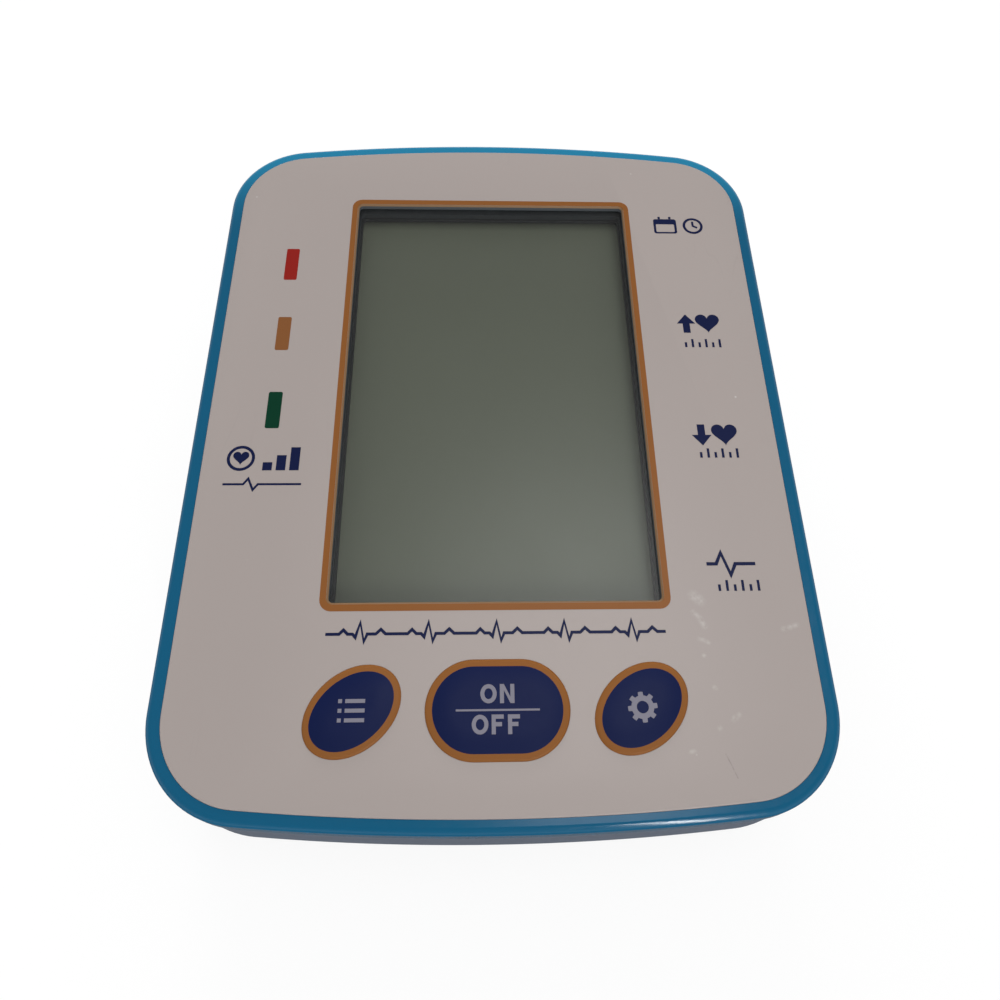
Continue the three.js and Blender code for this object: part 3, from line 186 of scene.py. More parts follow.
# Upper housing
# A shallow blue injection moulding, glossy, with a rounded rim round the face. It has a recess for the
# face panel, a ledge for the clear pane, holes for the keys, posts for the screws and a lip below.
fit = 0.3
key_gap = 0.35
panel_gap = 0.02
panel_width = 105
panel_length = 135.4
far_arch, far_corner = 346, 13.4
near_arch, near_corner = 433, 14
corner_steps, arch_steps = 22, 26
half_face = panel_length / 2
tilt = radians(10)
rim_width, rim_side_extra = 2.15, 0.3
rim_set = 0.15
rim_round_width, rim_round_drop, rim_steps = 1.2, 0.8, 12
cover_depth = 3.3
parting_step = 0.25
wall = 2.2
deck_thickness = 1.8
tongue_length, tongue_thickness = 1.6, 1.3
near_height = 22
mid_height = near_height + (half_face + rim_width) * sin(tilt)
on_face = Matrix.Translation((0, 0, mid_height)) @ Matrix.Rotation(tilt, 4, "X")


def arched_end(arch, corner, grow):
    """One end of the face: a shallow arch between two round corners, grown outwards."""
    corner_x = panel_width / 2 - corner
    arch_y = half_face - arch
    corner_y = arch_y + sqrt((arch - corner) ** 2 - corner_x ** 2)
    turn = atan2(corner_y - arch_y, corner_x)
    half = []
    for i in range(corner_steps):
        angle = turn * i / corner_steps
        half.append((corner_x + (corner + grow) * cos(angle), corner_y + (corner + grow) * sin(angle)))
    middle = []
    for i in range(arch_steps + 1):
        angle = turn + (pi - 2 * turn) * i / arch_steps
        middle.append(((arch + grow) * cos(angle), arch_y + (arch + grow) * sin(angle)))
    return half + middle + [(-x, y) for x, y in reversed(half)]


def face_outline(grow=0.0, side_extra=0.0):
    far = arched_end(far_arch, far_corner, grow + side_extra)
    near = arched_end(near_arch, near_corner, grow + side_extra)
    return far + [(x, side_extra - y) for x, y in reversed(near)]


def slope_ring(grow, drop, side_extra=0.0):
    """The face's outline, grown in plan and dropped straight down from its slope."""
    outline = face_outline(grow, side_extra)
    return [(x, y * cos(tilt), mid_height + y * sin(tilt) - drop) for x, y in outline]


def flat_ring(outline, height):
    return [(x, y, height) for x, y in outline]


def rounded_rectangle(width, length, corner, centre_x=0.0, centre_y=0.0):
    steps = 6
    points = []
    for quarter, (side_x, side_y) in enumerate([(1, 1), (-1, 1), (-1, -1), (1, -1)]):
        for i in range(steps + 1):
            angle = pi / 2 * (quarter + i / steps)
            points.append((
                centre_x + side_x * (width / 2 - corner) + corner * cos(angle),
                centre_y + side_y * (length / 2 - corner) + corner * sin(angle),
            ))
    return points


def circle(radius, sides, centre_x=0.0, centre_y=0.0):
    turn = 2 * pi / sides
    return [(centre_x + radius * cos(turn * i), centre_y + radius * sin(turn * i)) for i in range(sides)]


def bands(rings, closes_up):
    """Faces between rings that follow each other."""
    count = len(rings[0])
    faces = []
    for k in range(len(rings) if closes_up else len(rings) - 1):
        above = (k + 1) % len(rings)
        for i in range(count):
            j = (i + 1) % count
            faces.append((k * count + i, k * count + j, above * count + j, above * count + i))
    return faces


def loft(rings):
    """A closed body through rings of equal point counts, the first at the bottom."""
    count = len(rings[0])
    last = (len(rings) - 1) * count
    ends = [tuple(reversed(range(count))), tuple(range(last, last + count))]
    return [point for ring in rings for point in ring], bands(rings, False) + ends


def hollow(rings):
    """A closed body whose last ring joins the first, such as a pipe."""
    return [point for ring in rings for point in ring], bands(rings, True)


def prism(outline, low, high):
    return loft([flat_ring(outline, low), flat_ring(outline, high)])


def block(x0, x1, y0, y1, z0, z1):
    return prism([(x0, y0), (x1, y0), (x1, y1), (x0, y1)], z0, z1)


def rod(radius, x, y, z0, z1, sides=32):
    return prism(circle(radius, sides, x, y), z0, z1)


def solid(shape, place=Matrix()):
    """A mesh in metres from a shape in millimetres, its faces turned outwards."""
    points, faces = shape
    mesh = bpy.data.meshes.new("solid")
    mesh.from_pydata([(place @ Vector(point)) * MM for point in points], [], faces)
    work = bmesh.new()
    work.from_mesh(mesh)
    if work.calc_volume(signed=True) < 0:
        bmesh.ops.reverse_faces(work, faces=work.faces)
    work.to_mesh(mesh)
    work.free()
    return mesh


def worked(base, joins=(), cuts=()):
    """The base with the joined solids added and then the cut ones taken away."""
    holder = bpy.data.objects.new("work", base)
    scene.collection.objects.link(holder)
    tools = []
    for operation, shapes in (("UNION", joins), ("DIFFERENCE", cuts)):
        for shape in shapes:
            tool = bpy.data.objects.new("tool", shape)
            scene.collection.objects.link(tool)
            step = holder.modifiers.new("step", "BOOLEAN")
            step.operation = operation
            step.solver = "MANIFOLD"
            step.object = tool
            tools.append(tool)
    result = bpy.data.meshes.new_from_object(holder.evaluated_get(bpy.context.evaluated_depsgraph_get()))
    for spent in [*tools, holder]:
        bpy.data.objects.remove(spent)
    return result


def even_shading(piece):
    weighting = piece.modifiers.new("even_shading", "WEIGHTED_NORMAL")
    weighting.keep_sharp = True


def add_piece(name, mesh, materials, body, replaces=(), even=True):
    """A named piece on a body, with sharp edges where its faces meet steeply."""
    mesh.materials.clear()
    mesh.polygons.foreach_set("material_index", [0] * len(mesh.polygons))
    for material in materials if isinstance(materials, list) else [materials]:
        mesh.materials.append(material)
    mesh.shade_smooth()
    mesh.set_sharp_from_angle(angle=radians(32))
    piece = bpy.data.objects.new(name, mesh)
    scene.collection.objects.link(piece)
    if even:
        even_shading(piece)
    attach(piece, body)
    if replaces:
        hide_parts(*replaces)
    return piece


tub_grow = rim_width - parting_step
outer_side = panel_width / 2 + tub_grow
inner_side = outer_side - wall
panel_thickness = 0.8
deck_depth = panel_thickness + fit + deck_thickness
window_width = 56.1
window_bevel = 0.3
window_length = 86.4
window_y = 8.75
window_corner = 0.8
pane_lap = 2
pane_depth = panel_thickness + fit
pane_thickness = 1.2
ledge_depth = pane_depth + pane_thickness + fit
ledge_thickness, ledge_wall = 1, 1.6
frame_depth = ledge_depth + ledge_thickness + fit
board_depth, board_thickness = 9.4, 1.6
board_bottom = board_depth + board_thickness
key_row_y = 15.85 - half_face
side_key_x = 22.9
side_key_long, side_key_short, side_key_slant = 8.4, 6.2, radians(39)
middle_key_reach, middle_key_radius = 11.5, 7.8
key_sides = 72
screw_radius, screw_length, screw_seat = 1.4, 16, 3.8
boss_x, boss_y = inner_side - 8.7, half_face - 11.4
boss_top, post_radius = 12, 3.2
board_screw_radius, board_screw_length, board_post_radius = 1, 6, 2.5
board_far, board_near, board_width = half_face - 5.2, 1.7 - half_face, 62
board_middle = (board_far + board_near) / 2
board_screw_x, board_screw_y = board_width / 2 - 3, (board_far - board_near) / 2 - 2.9
four_corners = [(1, 1), (-1, 1), (-1, -1), (1, -1)]
board_screws = [(x * board_screw_x, board_middle + y * board_screw_y) for x, y in four_corners]


def window_outline(grow):
    return rounded_rectangle(window_width + 2 * grow, window_length + 2 * grow, window_corner, 0,
                             window_y)


def side_key_outline(centre_x, grow):
    points = []
    for i in range(key_sides):
        along = (side_key_long + grow) * cos(2 * pi * i / key_sides)
        across = (side_key_short + grow) * sin(2 * pi * i / key_sides)
        points.append((
            centre_x + along * cos(side_key_slant) - across * sin(side_key_slant),
            key_row_y + along * sin(side_key_slant) + across * cos(side_key_slant),
        ))
    return points


def middle_key_outline(centre_x, grow):
    straight, radius = middle_key_reach - middle_key_radius, middle_key_radius + grow
    points = []
    for side in (1, -1):
        for i in range(key_sides // 2):
            angle = -pi / 2 + pi * i / (key_sides // 2 - 1)
            points.append((
                centre_x + side * (straight + radius * cos(angle)),
                key_row_y + side * radius * sin(angle),
            ))
    return points


keys = [
    ("memory", side_key_outline, -side_key_x),
    ("start_stop", middle_key_outline, 0.0),
    ("set", side_key_outline, side_key_x),
]


def upper_housing():
    rings = [
        slope_ring(tub_grow, cover_depth),
        slope_ring(rim_width, cover_depth - parting_step, rim_side_extra),
    ]
    for i in range(rim_steps + 1):
        angle = pi / 2 * i / rim_steps
        grow = rim_width - rim_round_width * (1 - cos(angle))
        rings.append(slope_ring(grow, rim_set + rim_round_drop * (1 - sin(angle)), rim_side_extra))
    underside = deck_depth / cos(tilt)
    hollow_top = [slope_ring(rim_width - wall, drop) for drop in (cover_depth + wall, underside)]
    shell = worked(solid(loft(rings)), cuts=[solid(loft(hollow_top))])
    lip_outer, lip_end = tub_grow - wall - fit, cover_depth + tongue_length
    lip_inner = lip_outer - tongue_thickness
    lip = worked(
        solid(loft([slope_ring(lip_outer, drop) for drop in (lip_end, underside - wall / 4)])),
        cuts=[solid(loft([slope_ring(lip_inner, drop) for drop in (lip_end + wall, underside - wall / 2)]))],
    )
    ledge_outline = window_outline(pane_lap + fit + ledge_wall)
    joins = [lip, solid(prism(ledge_outline, -ledge_depth - ledge_thickness, -pane_depth), on_face)]
    cuts = [
        solid(prism(face_outline(panel_gap), -pane_depth, wall), on_face),
        solid(prism(window_outline(pane_lap + fit), -ledge_depth, 0), on_face),
        solid(prism(window_outline(0), -board_depth, 0), on_face),
    ]
    for _, outline, x in keys:
        cuts.append(solid(prism(outline(x, key_gap), -board_depth, 0), on_face))
    for side_x, side_y in four_corners:
        x, y = side_x * boss_x, side_y * boss_y
        deck_height = mid_height + y * tan(tilt) - underside
        joins.append(solid(rod(post_radius, x, y, boss_top + fit, deck_height + deck_thickness / 2)))
        cuts.append(solid(rod(screw_radius + fit / 2, x, y, boss_top, screw_seat + screw_length + fit)))
    pilot_top = -board_bottom + board_screw_length + fit
    for x, y in board_screws:
        post = rod(board_post_radius, x, y, -board_depth + fit, -deck_depth + deck_thickness / 2)
        joins.append(solid(post, on_face))
        cuts.append(solid(rod(board_screw_radius + fit / 2, x, y, -board_depth, pilot_top, 20), on_face))
    return worked(shell, joins, cuts)


def srgb(red, green, blue):
    """A colour from its 0 to 255 values on a screen."""
    linear = []
    for c in (red, green, blue):
        linear.append(c / 255 / 12.92 if c <= 10 else ((c / 255 + 0.055) / 1.055) ** 2.4)
    return (*linear, 1.0)


def darkened(colour, share):
    return (*[share * c for c in colour[:3]], 1)


def mixed_colour(tree, share, first, last):
    sockets = {"Fac": share, "Color1": first, "Color2": last}
    return add_node(tree, "ShaderNodeMixRGB", inputs=sockets).outputs[0]


def bump(tree, strength, depth, height):
    """A normal from a height map whose whole depth is in millimetres."""
    sockets = {"Strength": strength, "Distance": depth * MM, "Height": height}
    return add_node(tree, "ShaderNodeBump", inputs=sockets).outputs[0]


def lay_over(material, mask, colour):
    """Lays a colour over the material's own where the mask says."""
    shader = material.node_tree.nodes["Principled BSDF"]
    below = shader.inputs["Base Color"].links[0].from_socket
    feed(shader, {"Base Color": mixed_colour(material.node_tree, mask, below, colour)})


def shader_group(name, inputs, outputs):
    """A new group with its sockets: the tree, what it is given and its output node."""
    tree = bpy.data.node_groups.new(name, "ShaderNodeTree")
    for label, kind, value in inputs:
        tree.interface.new_socket(label, in_out="INPUT", socket_type=kind).default_value = value
    for label, kind in outputs:
        tree.interface.new_socket(label, in_out="OUTPUT", socket_type=kind)
    return tree, tree.nodes.new("NodeGroupInput").outputs, tree.nodes.new("NodeGroupOutput")


def moulded_grain_group():
    """Spark-eroded or polished grain of a moulding, with slow drifts of its colour."""
    tree, given, out = shader_group(
        "moulded_grain",
        [
            ("Colour", "NodeSocketColor", (0.5, 0.5, 0.5, 1)),
            ("Grain Scale", "NodeSocketFloat", 2500),
            ("Grain Depth", "NodeSocketFloat", 0.3),
            ("Drift", "NodeSocketFloat", 0.06),
        ],
        [("Colour", "NodeSocketColor"), ("Grain", "NodeSocketFloat"), ("Normal", "NodeSocketVector")],
    )
    coords = object_coords(tree)
    fine = noise(tree, coords, given["Grain Scale"], 3, Roughness=0.6)
    shade = maths(tree, "MULTIPLY", noise(tree, coords, 45, 4), given["Drift"])
    darker = add_node(tree, "ShaderNodeHueSaturation", inputs={"Value": 0.6, "Color": given["Colour"]})
    feed(out, {
        "Colour": mixed_colour(tree, shade, given["Colour"], darker.outputs[0]),
        "Grain": fine,
        "Normal": bump(tree, given["Grain Depth"], 0.06, fine),
    })
    return tree


def handling_marks_group():
    """Specks of dust and fine hairline scratches, as masks."""
    tree, given, out = shader_group(
        "handling_marks",
        [
            ("Dust Scale", "NodeSocketFloat", 260),
            ("Dust Share", "NodeSocketFloat", 0.12),
            ("Line Scale", "NodeSocketFloat", 60),
            ("Line Share", "NodeSocketFloat", 0.4),
        ],
        [("Dust", "NodeSocketFloat"), ("Lines", "NodeSocketFloat")],
    )
    coords = object_coords(tree)
    specks = add_node(tree, "ShaderNodeTexVoronoi", inputs={"Vector": coords, "Scale": given["Dust Scale"]})
    near = ramp(tree, specks.outputs["Distance"], 0.02, 0.07, 1, 0)
    lot = add_node(tree, "ShaderNodeSeparateColor", inputs={"Color": specks.outputs["Color"]}).outputs[0]
    chosen = maths(tree, "LESS_THAN", lot, given["Dust Share"])
    combed = add_node(tree, "ShaderNodeMapping", inputs={
        "Vector": coords,
        "Rotation": (0, 0, 0.7),
        "Scale": (1, 0.12, 1),
    }).outputs[0]
    streak = noise(tree, combed, given["Line Scale"], Distortion=0.4)
    hairline = ramp(tree, maths(tree, "ABSOLUTE", maths(tree, "SUBTRACT", streak, 0.52)), 0, 0.004, 1, 0)
    patch = ramp(tree, noise(tree, coords, 70), 0.55, 0.65)
    lines = maths(tree, "MULTIPLY", maths(tree, "MULTIPLY", hairline, patch), given["Line Share"])
    feed(out, {"Dust": maths(tree, "MULTIPLY", near, chosen), "Lines": lines})
    return tree


moulded_grain = moulded_grain_group()
handling_marks = handling_marks_group()


def moulded_plastic(name, colour, roughness, grain_scale=2500, grain_depth=0.3, drift=0.1, dust=0.06,
                    lines=0.3, dust_colour=(0.62, 0.6, 0.57, 1), specular=0.5):
    """Moulded or printed plastic with its grain, its drifts of colour and the marks of handling."""
    made, tree, shader = new_material(name)
    grain = add_node(tree, "ShaderNodeGroup", {"node_tree": moulded_grain}, {
        "Colour": colour,
        "Grain Scale": grain_scale,
        "Grain Depth": grain_depth,
        "Drift": drift,
    }).outputs
    marks = add_node(tree, "ShaderNodeGroup", {"node_tree": handling_marks}, {
        "Dust Share": dust,
        "Line Share": lines,
    }).outputs
    dusty = mixed_colour(tree, maths(tree, "MULTIPLY", marks["Dust"], 0.5), grain["Colour"], dust_colour)
    rough = ramp(tree, grain["Grain"], 0, 1, roughness - 0.05, roughness + 0.07)
    feed(shader, {
        "Base Color": mixed_colour(tree, marks["Lines"], dusty, darkened(colour, 0.6)),
        "Roughness": maths(tree, "MULTIPLY_ADD", marks["Lines"], 0.3, rough),
        "Normal": grain["Normal"],
        "Specular IOR Level": specular,
    })
    return made


to_face = on_face.inverted()


def in_window(mesh, polygon, reach, depth):
    """Whether a whole face of a mesh lies in the display window's outline, grown, and above a depth."""
    for index in polygon.vertices:
        x, y, height = to_face @ (mesh.vertices[index].co / MM)
        outside = max(abs(x) - window_width / 2, abs(y - window_y) - window_length / 2)
        if outside > reach or height < -depth:
            return False
    return True


blue_plastic = moulded_plastic("blue_plastic", srgb(6, 88, 123), 0.14, grain_scale=600, grain_depth=0.06,
                               drift=0.14, dust=0.05, specular=0.4)
blue_tree = blue_plastic.node_tree
# The blue turns lighter towards the far edge: painted light, as if the far rim were lit from beyond it.
blue_place = add_node(blue_tree, "ShaderNodeSeparateXYZ", inputs={0: object_coords(blue_tree)}).outputs
painted_light_from, painted_light_all = 45, 66
far_painted_light = ramp(blue_tree, blue_place["Y"], painted_light_from * MM, painted_light_all * MM, way="SMOOTHSTEP")
lay_over(blue_plastic, far_painted_light, srgb(30, 126, 164))
# A dark grey for the housing's walls and ledge round the window: painted shade for the shade inside the
# recess.
ledge_painted_shade = moulded_plastic("ledge_painted_shade", srgb(46, 49, 52), 0.5, specular=0.2)
shell_mesh = upper_housing()
add_piece("upper_housing_shell", shell_mesh, [blue_plastic, ledge_painted_shade], "casing",
          ["upper_housing"])
# Faces round the window take the dark painted shade.
for polygon in shell_mesh.polygons:
    if in_window(shell_mesh, polygon, pane_lap + fit + 0.01, frame_depth):
        polygon.material_index = 1

# Face panel
# A stiff printed plastic sheet, glued into the recess of the upper housing. Its edge is rounded over, the
# cut edge of the display window is painted dark grey as painted shade for the shaded wall of the window,
# and the near right corner is scuffed by use.
panel_round, panel_round_steps = 0.25, 5
key_print_gap = 0.03
pale_scuffs = [
    ((33.3, -33.7), (34.4, -34.6), 1.3),
    ((33.0, -36.6), (33.9, -37.6), 0.7),
    ((33.9, -37.6), (34.6, -38.9), 0.8),
    ((33.5, -41.0), (34.9, -41.6), 0.6),
    ((33.8, -43.8), (33.9, -43.8), 0.6),
    ((35.0, -48.9), (35.1, -49.0), 0.6),
    ((37.4, -53.8), (38.3, -53.2), 0.7),
    ((35.0, -55.1), (35.0, -55.2), 0.6),
    ((29.8, -58.6), (30.6, -58.5), 0.5),
    ((47.8, -39.5), (50.2, -38.9), 0.7),
]
dark_scratches = [((35.4, -59.0), (36.2, -60.9), 0.16), ((36.2, -60.9), (36.8, -62.5), 0.16)]


def face_panel():
    rings = [flat_ring(face_outline(), -panel_thickness)]
    for i in range(panel_round_steps + 1):
        angle = pi / 2 * i / panel_round_steps
        inset = panel_round * (1 - cos(angle))
        rings.append(flat_ring(face_outline(-inset), -panel_round * (1 - sin(angle))))
    flare = [(0, -pane_depth), (0, -window_bevel), (2 * window_bevel, window_bevel)]
    cuts = [solid(loft([flat_ring(window_outline(grow), height) for grow, height in flare]), on_face)]
    cuts += [solid(prism(outline(x, key_print_gap), -pane_depth, fit), on_face) for _, outline, x in keys]
    return worked(solid(loft(rings), on_face), cuts=cuts)


panel_white = moulded_plastic("panel_white", srgb(166, 156, 152), 0.35, grain_scale=900,
                              grain_depth=0.05, drift=0.05, dust=0.05, lines=0.08,
                              dust_colour=(0.7, 0.7, 0.7, 1), specular=0.35)
# Dark grey: on the panel's cut window edge it is painted shade for the shaded wall of the window, and on the
# pane's tape it is the tape's own dark colour.
dark_tape_and_edge_shade = moulded_plastic("dark_tape_and_edge_shade", srgb(84, 88, 92), 0.5, specular=0.2)
bevel_tan = moulded_plastic("bevel_tan", srgb(130, 101, 72), 0.4, specular=0.2)


def vector_maths(tree, operation, *values):
    """The vector of a difference, or the number of a distance or a dot product."""
    made = add_node(tree, "ShaderNodeVectorMath", {"operation": operation}, dict(enumerate(values)))
    return made.outputs["Vector" if operation == "SUBTRACT" else "Value"]


def stroke_mask_group():
    """A soft stroke from one place along a way, laid over the mask below it."""
    tree, given, out = shader_group(
        "stroke_mask",
        [
            ("Below", "NodeSocketFloat", 0),
            ("Start", "NodeSocketVector", (0, 0, 0)),
            ("Way", "NodeSocketVector", (0, 0, 0)),
            ("Width", "NodeSocketFloat", 0.0004),
        ],
        [("Mask", "NodeSocketFloat")],
    )
    from_start = vector_maths(tree, "SUBTRACT", object_coords(tree), given["Start"])
    share = add_node(tree, "ShaderNodeMath", {"operation": "DIVIDE", "use_clamp": True}, {
        0: vector_maths(tree, "DOT_PRODUCT", from_start, given["Way"]),
        1: vector_maths(tree, "DOT_PRODUCT", given["Way"], given["Way"]),
    })
    reached = add_node(tree, "ShaderNodeVectorMath", {"operation": "SCALE"}, {
        0: given["Way"],
        "Scale": share.outputs[0],
    })
    off = vector_maths(tree, "DISTANCE", from_start, reached.outputs[0])
    stroke = ramp(tree, off, 0, given["Width"], 1, 0, "SMOOTHSTEP")
    feed(out, {"Mask": maths(tree, "MAXIMUM", given["Below"], stroke)})
    return tree


stroke_mask = stroke_mask_group()


def marked(material, strokes, colour, strength):
    """Lays worn strokes over a material's colour, each from and to a place on the face, with its width."""
    tree = material.node_tree
    mask = 0.0
    for start, stop, width in strokes:
        first, last = [on_face @ Vector((*place, 0)) * MM for place in (start, stop)]
        mask = add_node(tree, "ShaderNodeGroup", {"node_tree": stroke_mask}, {
            "Below": mask,
            "Start": first,
            "Way": last - first,
            "Width": width * MM,
        }).outputs["Mask"]
    broken = ramp(tree, noise(tree, object_coords(tree), 1500), 0.3, 0.65, 0, strength)
    lay_over(material, maths(tree, "MULTIPLY", mask, broken), colour)


marked(panel_white, pale_scuffs, srgb(204, 200, 198), 0.36)
marked(panel_white, dark_scratches, srgb(96, 92, 92), 0.5)
panel_mesh = face_panel()
add_piece("face_sheet", panel_mesh, [panel_white, dark_tape_and_edge_shade, bevel_tan], "casing",
          ["face_panel"], even=False)
face_up = on_face.col[2].to_3d()
# The window's cut walls take the dark painted shade, and its flared bevel the tan.
for polygon in panel_mesh.polygons:
    facing_up = polygon.normal.dot(face_up)
    if in_window(panel_mesh, polygon, window_bevel + 0.01, pane_depth) and facing_up < 0.9:
        polygon.material_index = 2 if facing_up > 0.5 else 1

# Printed marks on the panel
# Screen printed inks: an orange line round the display, three bars in the colours of a reading's level,
# and navy signs for the date, the readings and their levels.
ink_low, ink_high = -0.01, 0.02


def flat_band(outer, inner, low, high):
    """A flat body between two outlines of equal point counts."""
    rings = [(outer, low), (outer, high), (inner, high), (inner, low)]
    return hollow([flat_ring(outline, height) for outline, height in rings])


def from_window(outline):
    """The outline of a print whose places are counted from the window's middle."""
    return [(x, y + window_y) for x, y in outline]


def ink(outline):
    return prism(from_window(outline), ink_low, ink_high)


def ink_band(outer, inner):
    return flat_band(from_window(outer), from_window(inner), ink_low, ink_high)


def several(shapes):
    """Separate shapes as one."""
    points, faces = [], []
    for more, its_faces in shapes:
        faces += [tuple(index + len(points) for index in face) for face in its_faces]
        points += more
    return points, faces


def line(path, width):
    """The outline of a drawn line, its corners mitred up to a limit."""
    left, right = [], []
    for i, (x, y) in enumerate(path):
        before = Vector(path[max(i, 1)]) - Vector(path[max(i, 1) - 1])
        after = Vector(path[i + 1]) - Vector(path[i]) if i < len(path) - 1 else before
        before.normalize()
        after.normalize()
        normal = Vector((-before.y - after.y, before.x + after.x)).normalized()
        reach = width / 2 * min(1 / max(normal.dot(Vector((-before.y, before.x))), 0.1), 2.2)
        left.append((x + normal.x * reach, y + normal.y * reach))
        right.append((x - normal.x * reach, y - normal.y * reach))
    return right + left[::-1]


def box_outline(x0, x1, y0, y1):
    return [(x0, y0), (x1, y0), (x1, y1), (x0, y1)]


def heart(centre_x, centre_y, height):
    sides = 48
    points = []
    for i in range(sides):
        t = 2 * pi * i / sides
        x = 16 * sin(t) ** 3
        y = 13 * cos(t) - 5 * cos(2 * t) - 2 * cos(3 * t) - cos(4 * t)
        points.append((centre_x - x * height / 29, centre_y + (y + 2.5) * height / 29))
    return points


def arrow(centre_x, centre_y, height, up):
    width, stem = height * 0.42, height * 0.16
    half = height / 2
    points = [(-stem, -half), (stem, -half), (stem, 0), (width, 0), (0, half), (-width, 0), (-stem, 0)]
    return [(centre_x + x * up, centre_y + y * up) for x, y in points]


def ticks(right, y, height, count):
    """A row of long and short ticks that starts at its right."""
    pitch, width = 1.35, 0.45
    row = []
    for i in range(count):
        edge = right - pitch * i
        row.append(box_outline(edge - width, edge, y, y + height * (0.6 if i % 2 else 1)))
    return row


def ink_on_panel(name, shapes, material):
    add_piece(name, solid(several(shapes), on_face), material, "casing", even=False)


def printed_ink(name, colour, specular):
    return moulded_plastic(name, colour, 0.35, grain_scale=1500, grain_depth=0.05, drift=0.12, dust=0,
                           lines=0, specular=specular)


orange_ink = printed_ink("orange_ink", srgb(137, 85, 39), 0.2)
red_ink = printed_ink("red_ink", srgb(142, 26, 18), 0.2)
amber_ink = printed_ink("amber_ink", srgb(130, 82, 44), 0.2)
green_ink = printed_ink("green_ink", srgb(0, 55, 36), 0.15)
navy_ink = printed_ink("navy_ink", srgb(14, 24, 64), 0.15)

line_width = 1.4
line_gap = window_bevel + 0.02
line_outer = rounded_rectangle(window_width + 2 * line_width, window_length + 2 * line_width + 0.2, 2)
line_inner = rounded_rectangle(window_width + 2 * line_gap, window_length + 2 * line_gap,
                               window_corner + window_bevel)
ink_on_panel("window_line_print", [ink_band(line_outer, line_inner)], orange_ink)
for name, top, bottom, material in [
    ("high", 31.2, 23.3, red_ink),
    ("raised", 14.2, 6.5, amber_ink),
    ("normal", -2.8, -10.5, green_ink),
]:
    bar = rounded_rectangle(2.6, top - bottom, 0.35, -40.8, (top + bottom) / 2)
    ink_on_panel(f"level_bar_{name}_print", [ink(bar)], material)

beat_pitch, beats = 11.2, 5
trace_left, trace_y = -28, -48.5
beat = [(0, 0), (2.2, 0), (2.9, 0.7), (3.6, 0), (4.4, 0), (4.9, -0.55), (5.6, 1.9), (6.3, -1.25),
        (6.8, 0), (8.2, 0), (9.0, 0.75), (9.8, 0)]
trace = [(trace_left + beat_pitch * n + x, trace_y + y) for n in range(beats) for x, y in beat]
trace.append((trace_left + beat_pitch * beats, trace_y))
pulse = [(36.3, -36.9), (38.0, -36.9), (39.0, -34.9), (40.3, -38.9), (41.3, -36.9), (44.8, -36.9)]
small_trace = [(-48.2, -21.7), (-44.6, -21.7), (-43.8, -20.6), (-42.8, -22.8), (-42.0, -21.7), (-34.4, -21.7)]
clock_x, clock_y = 42.95, 38.25
calendar = rounded_rectangle(4.9, 3.9, 0.5, 37.0, 38.1)
calendar_hole = rounded_rectangle(3.9, 2.1, 0.2, 37.0, 37.6)
signs = [
    ink(line(trace, 0.5)),
    ink_band(circle(2.15, 40, clock_x, clock_y), circle(1.6, 40, clock_x, clock_y)),
    ink(line([(clock_x, clock_y + 1.2), (clock_x, clock_y), (clock_x + 0.9, clock_y - 0.5)], 0.45)),
    ink_band(calendar, calendar_hole),
    ink(box_outline(35.6, 36.1, 40.1, 40.7)),
    ink(box_outline(37.9, 38.4, 40.1, 40.7)),
    ink(heart(42.9, 13.1, 4.4)),
    ink(arrow(38.6, 13.1, 4.4, 1)),
    ink(heart(42.9, -11.9, 4.4)),
    ink(arrow(38.6, -11.9, 4.4, -1)),
    ink(line(pulse, 0.6)),
    ink_band(circle(2.5, 44, -45.6, -16.6), circle(1.95, 44, -45.6, -16.6)),
    ink(heart(-45.6, -16.6, 2.6)),
    ink(box_outline(-41.6, -39.9, -19.0, -17.4)),
    ink(box_outline(-39.2, -37.5, -19.0, -16.0)),
    ink(box_outline(-36.8, -35.1, -19.0, -14.4)),
    ink(line(small_trace, 0.4)),
]
for y in (7.5, -16.6, -41.7):
    signs += [ink(tick) for tick in ticks(45.0, y, 1.9, 6)]
ink_on_panel("panel_signs_print", signs, navy_ink)

# Display
# A clear acrylic pane is taped up under the edge of the panel. Under it a black frame holds the liquid
# crystal glass, with its striped elastomer connector and a strip of foam behind.


def clear_acrylic():
    made, tree, opaque = new_material("clear_acrylic")
    tree.nodes.remove(opaque)
    smear = noise(tree, object_coords(tree), 60, 4)
    gloss = add_node(tree, "ShaderNodeBsdfGlossy", inputs={
        "Color": white,
        "Roughness": ramp(tree, smear, 0, 1, 0.28, 0.38),
    })
    through = add_node(tree, "ShaderNodeBsdfTransparent", inputs={"Color": (0.95, 0.97, 0.97, 1)})
    edge_on = add_node(tree, "ShaderNodeFresnel", inputs={"IOR": 1.49}).outputs[0]
    outside = maths(tree, "SUBTRACT", 1, add_node(tree, "ShaderNodeNewGeometry").outputs["Backfacing"])
    mixed = add_node(tree, "ShaderNodeMixShader", inputs={
        0: maths(tree, "MULTIPLY", edge_on, outside),
        1: through.outputs[0],
        2: gloss.outputs[0],
    })
    feed(tree.nodes["Material Output"], {"Surface": mixed.outputs[0]})
    return made


def smooth_shading_group():
    """A modifier's nodes that shade every face smooth and leave the mesh as it is."""
    tree = bpy.data.node_groups.new("smooth_shading", "GeometryNodeTree")
    for way in ("INPUT", "OUTPUT"):
        tree.interface.new_socket("Geometry", in_out=way, socket_type="NodeSocketGeometry")
    given, out = tree.nodes.new("NodeGroupInput"), tree.nodes.new("NodeGroupOutput")
    shaded = add_node(tree, "GeometryNodeSetShadeSmooth", inputs={"Geometry": given.outputs[0]})
    feed(out, {0: shaded.outputs[0]})
    return tree


smooth_shading = smooth_shading_group()


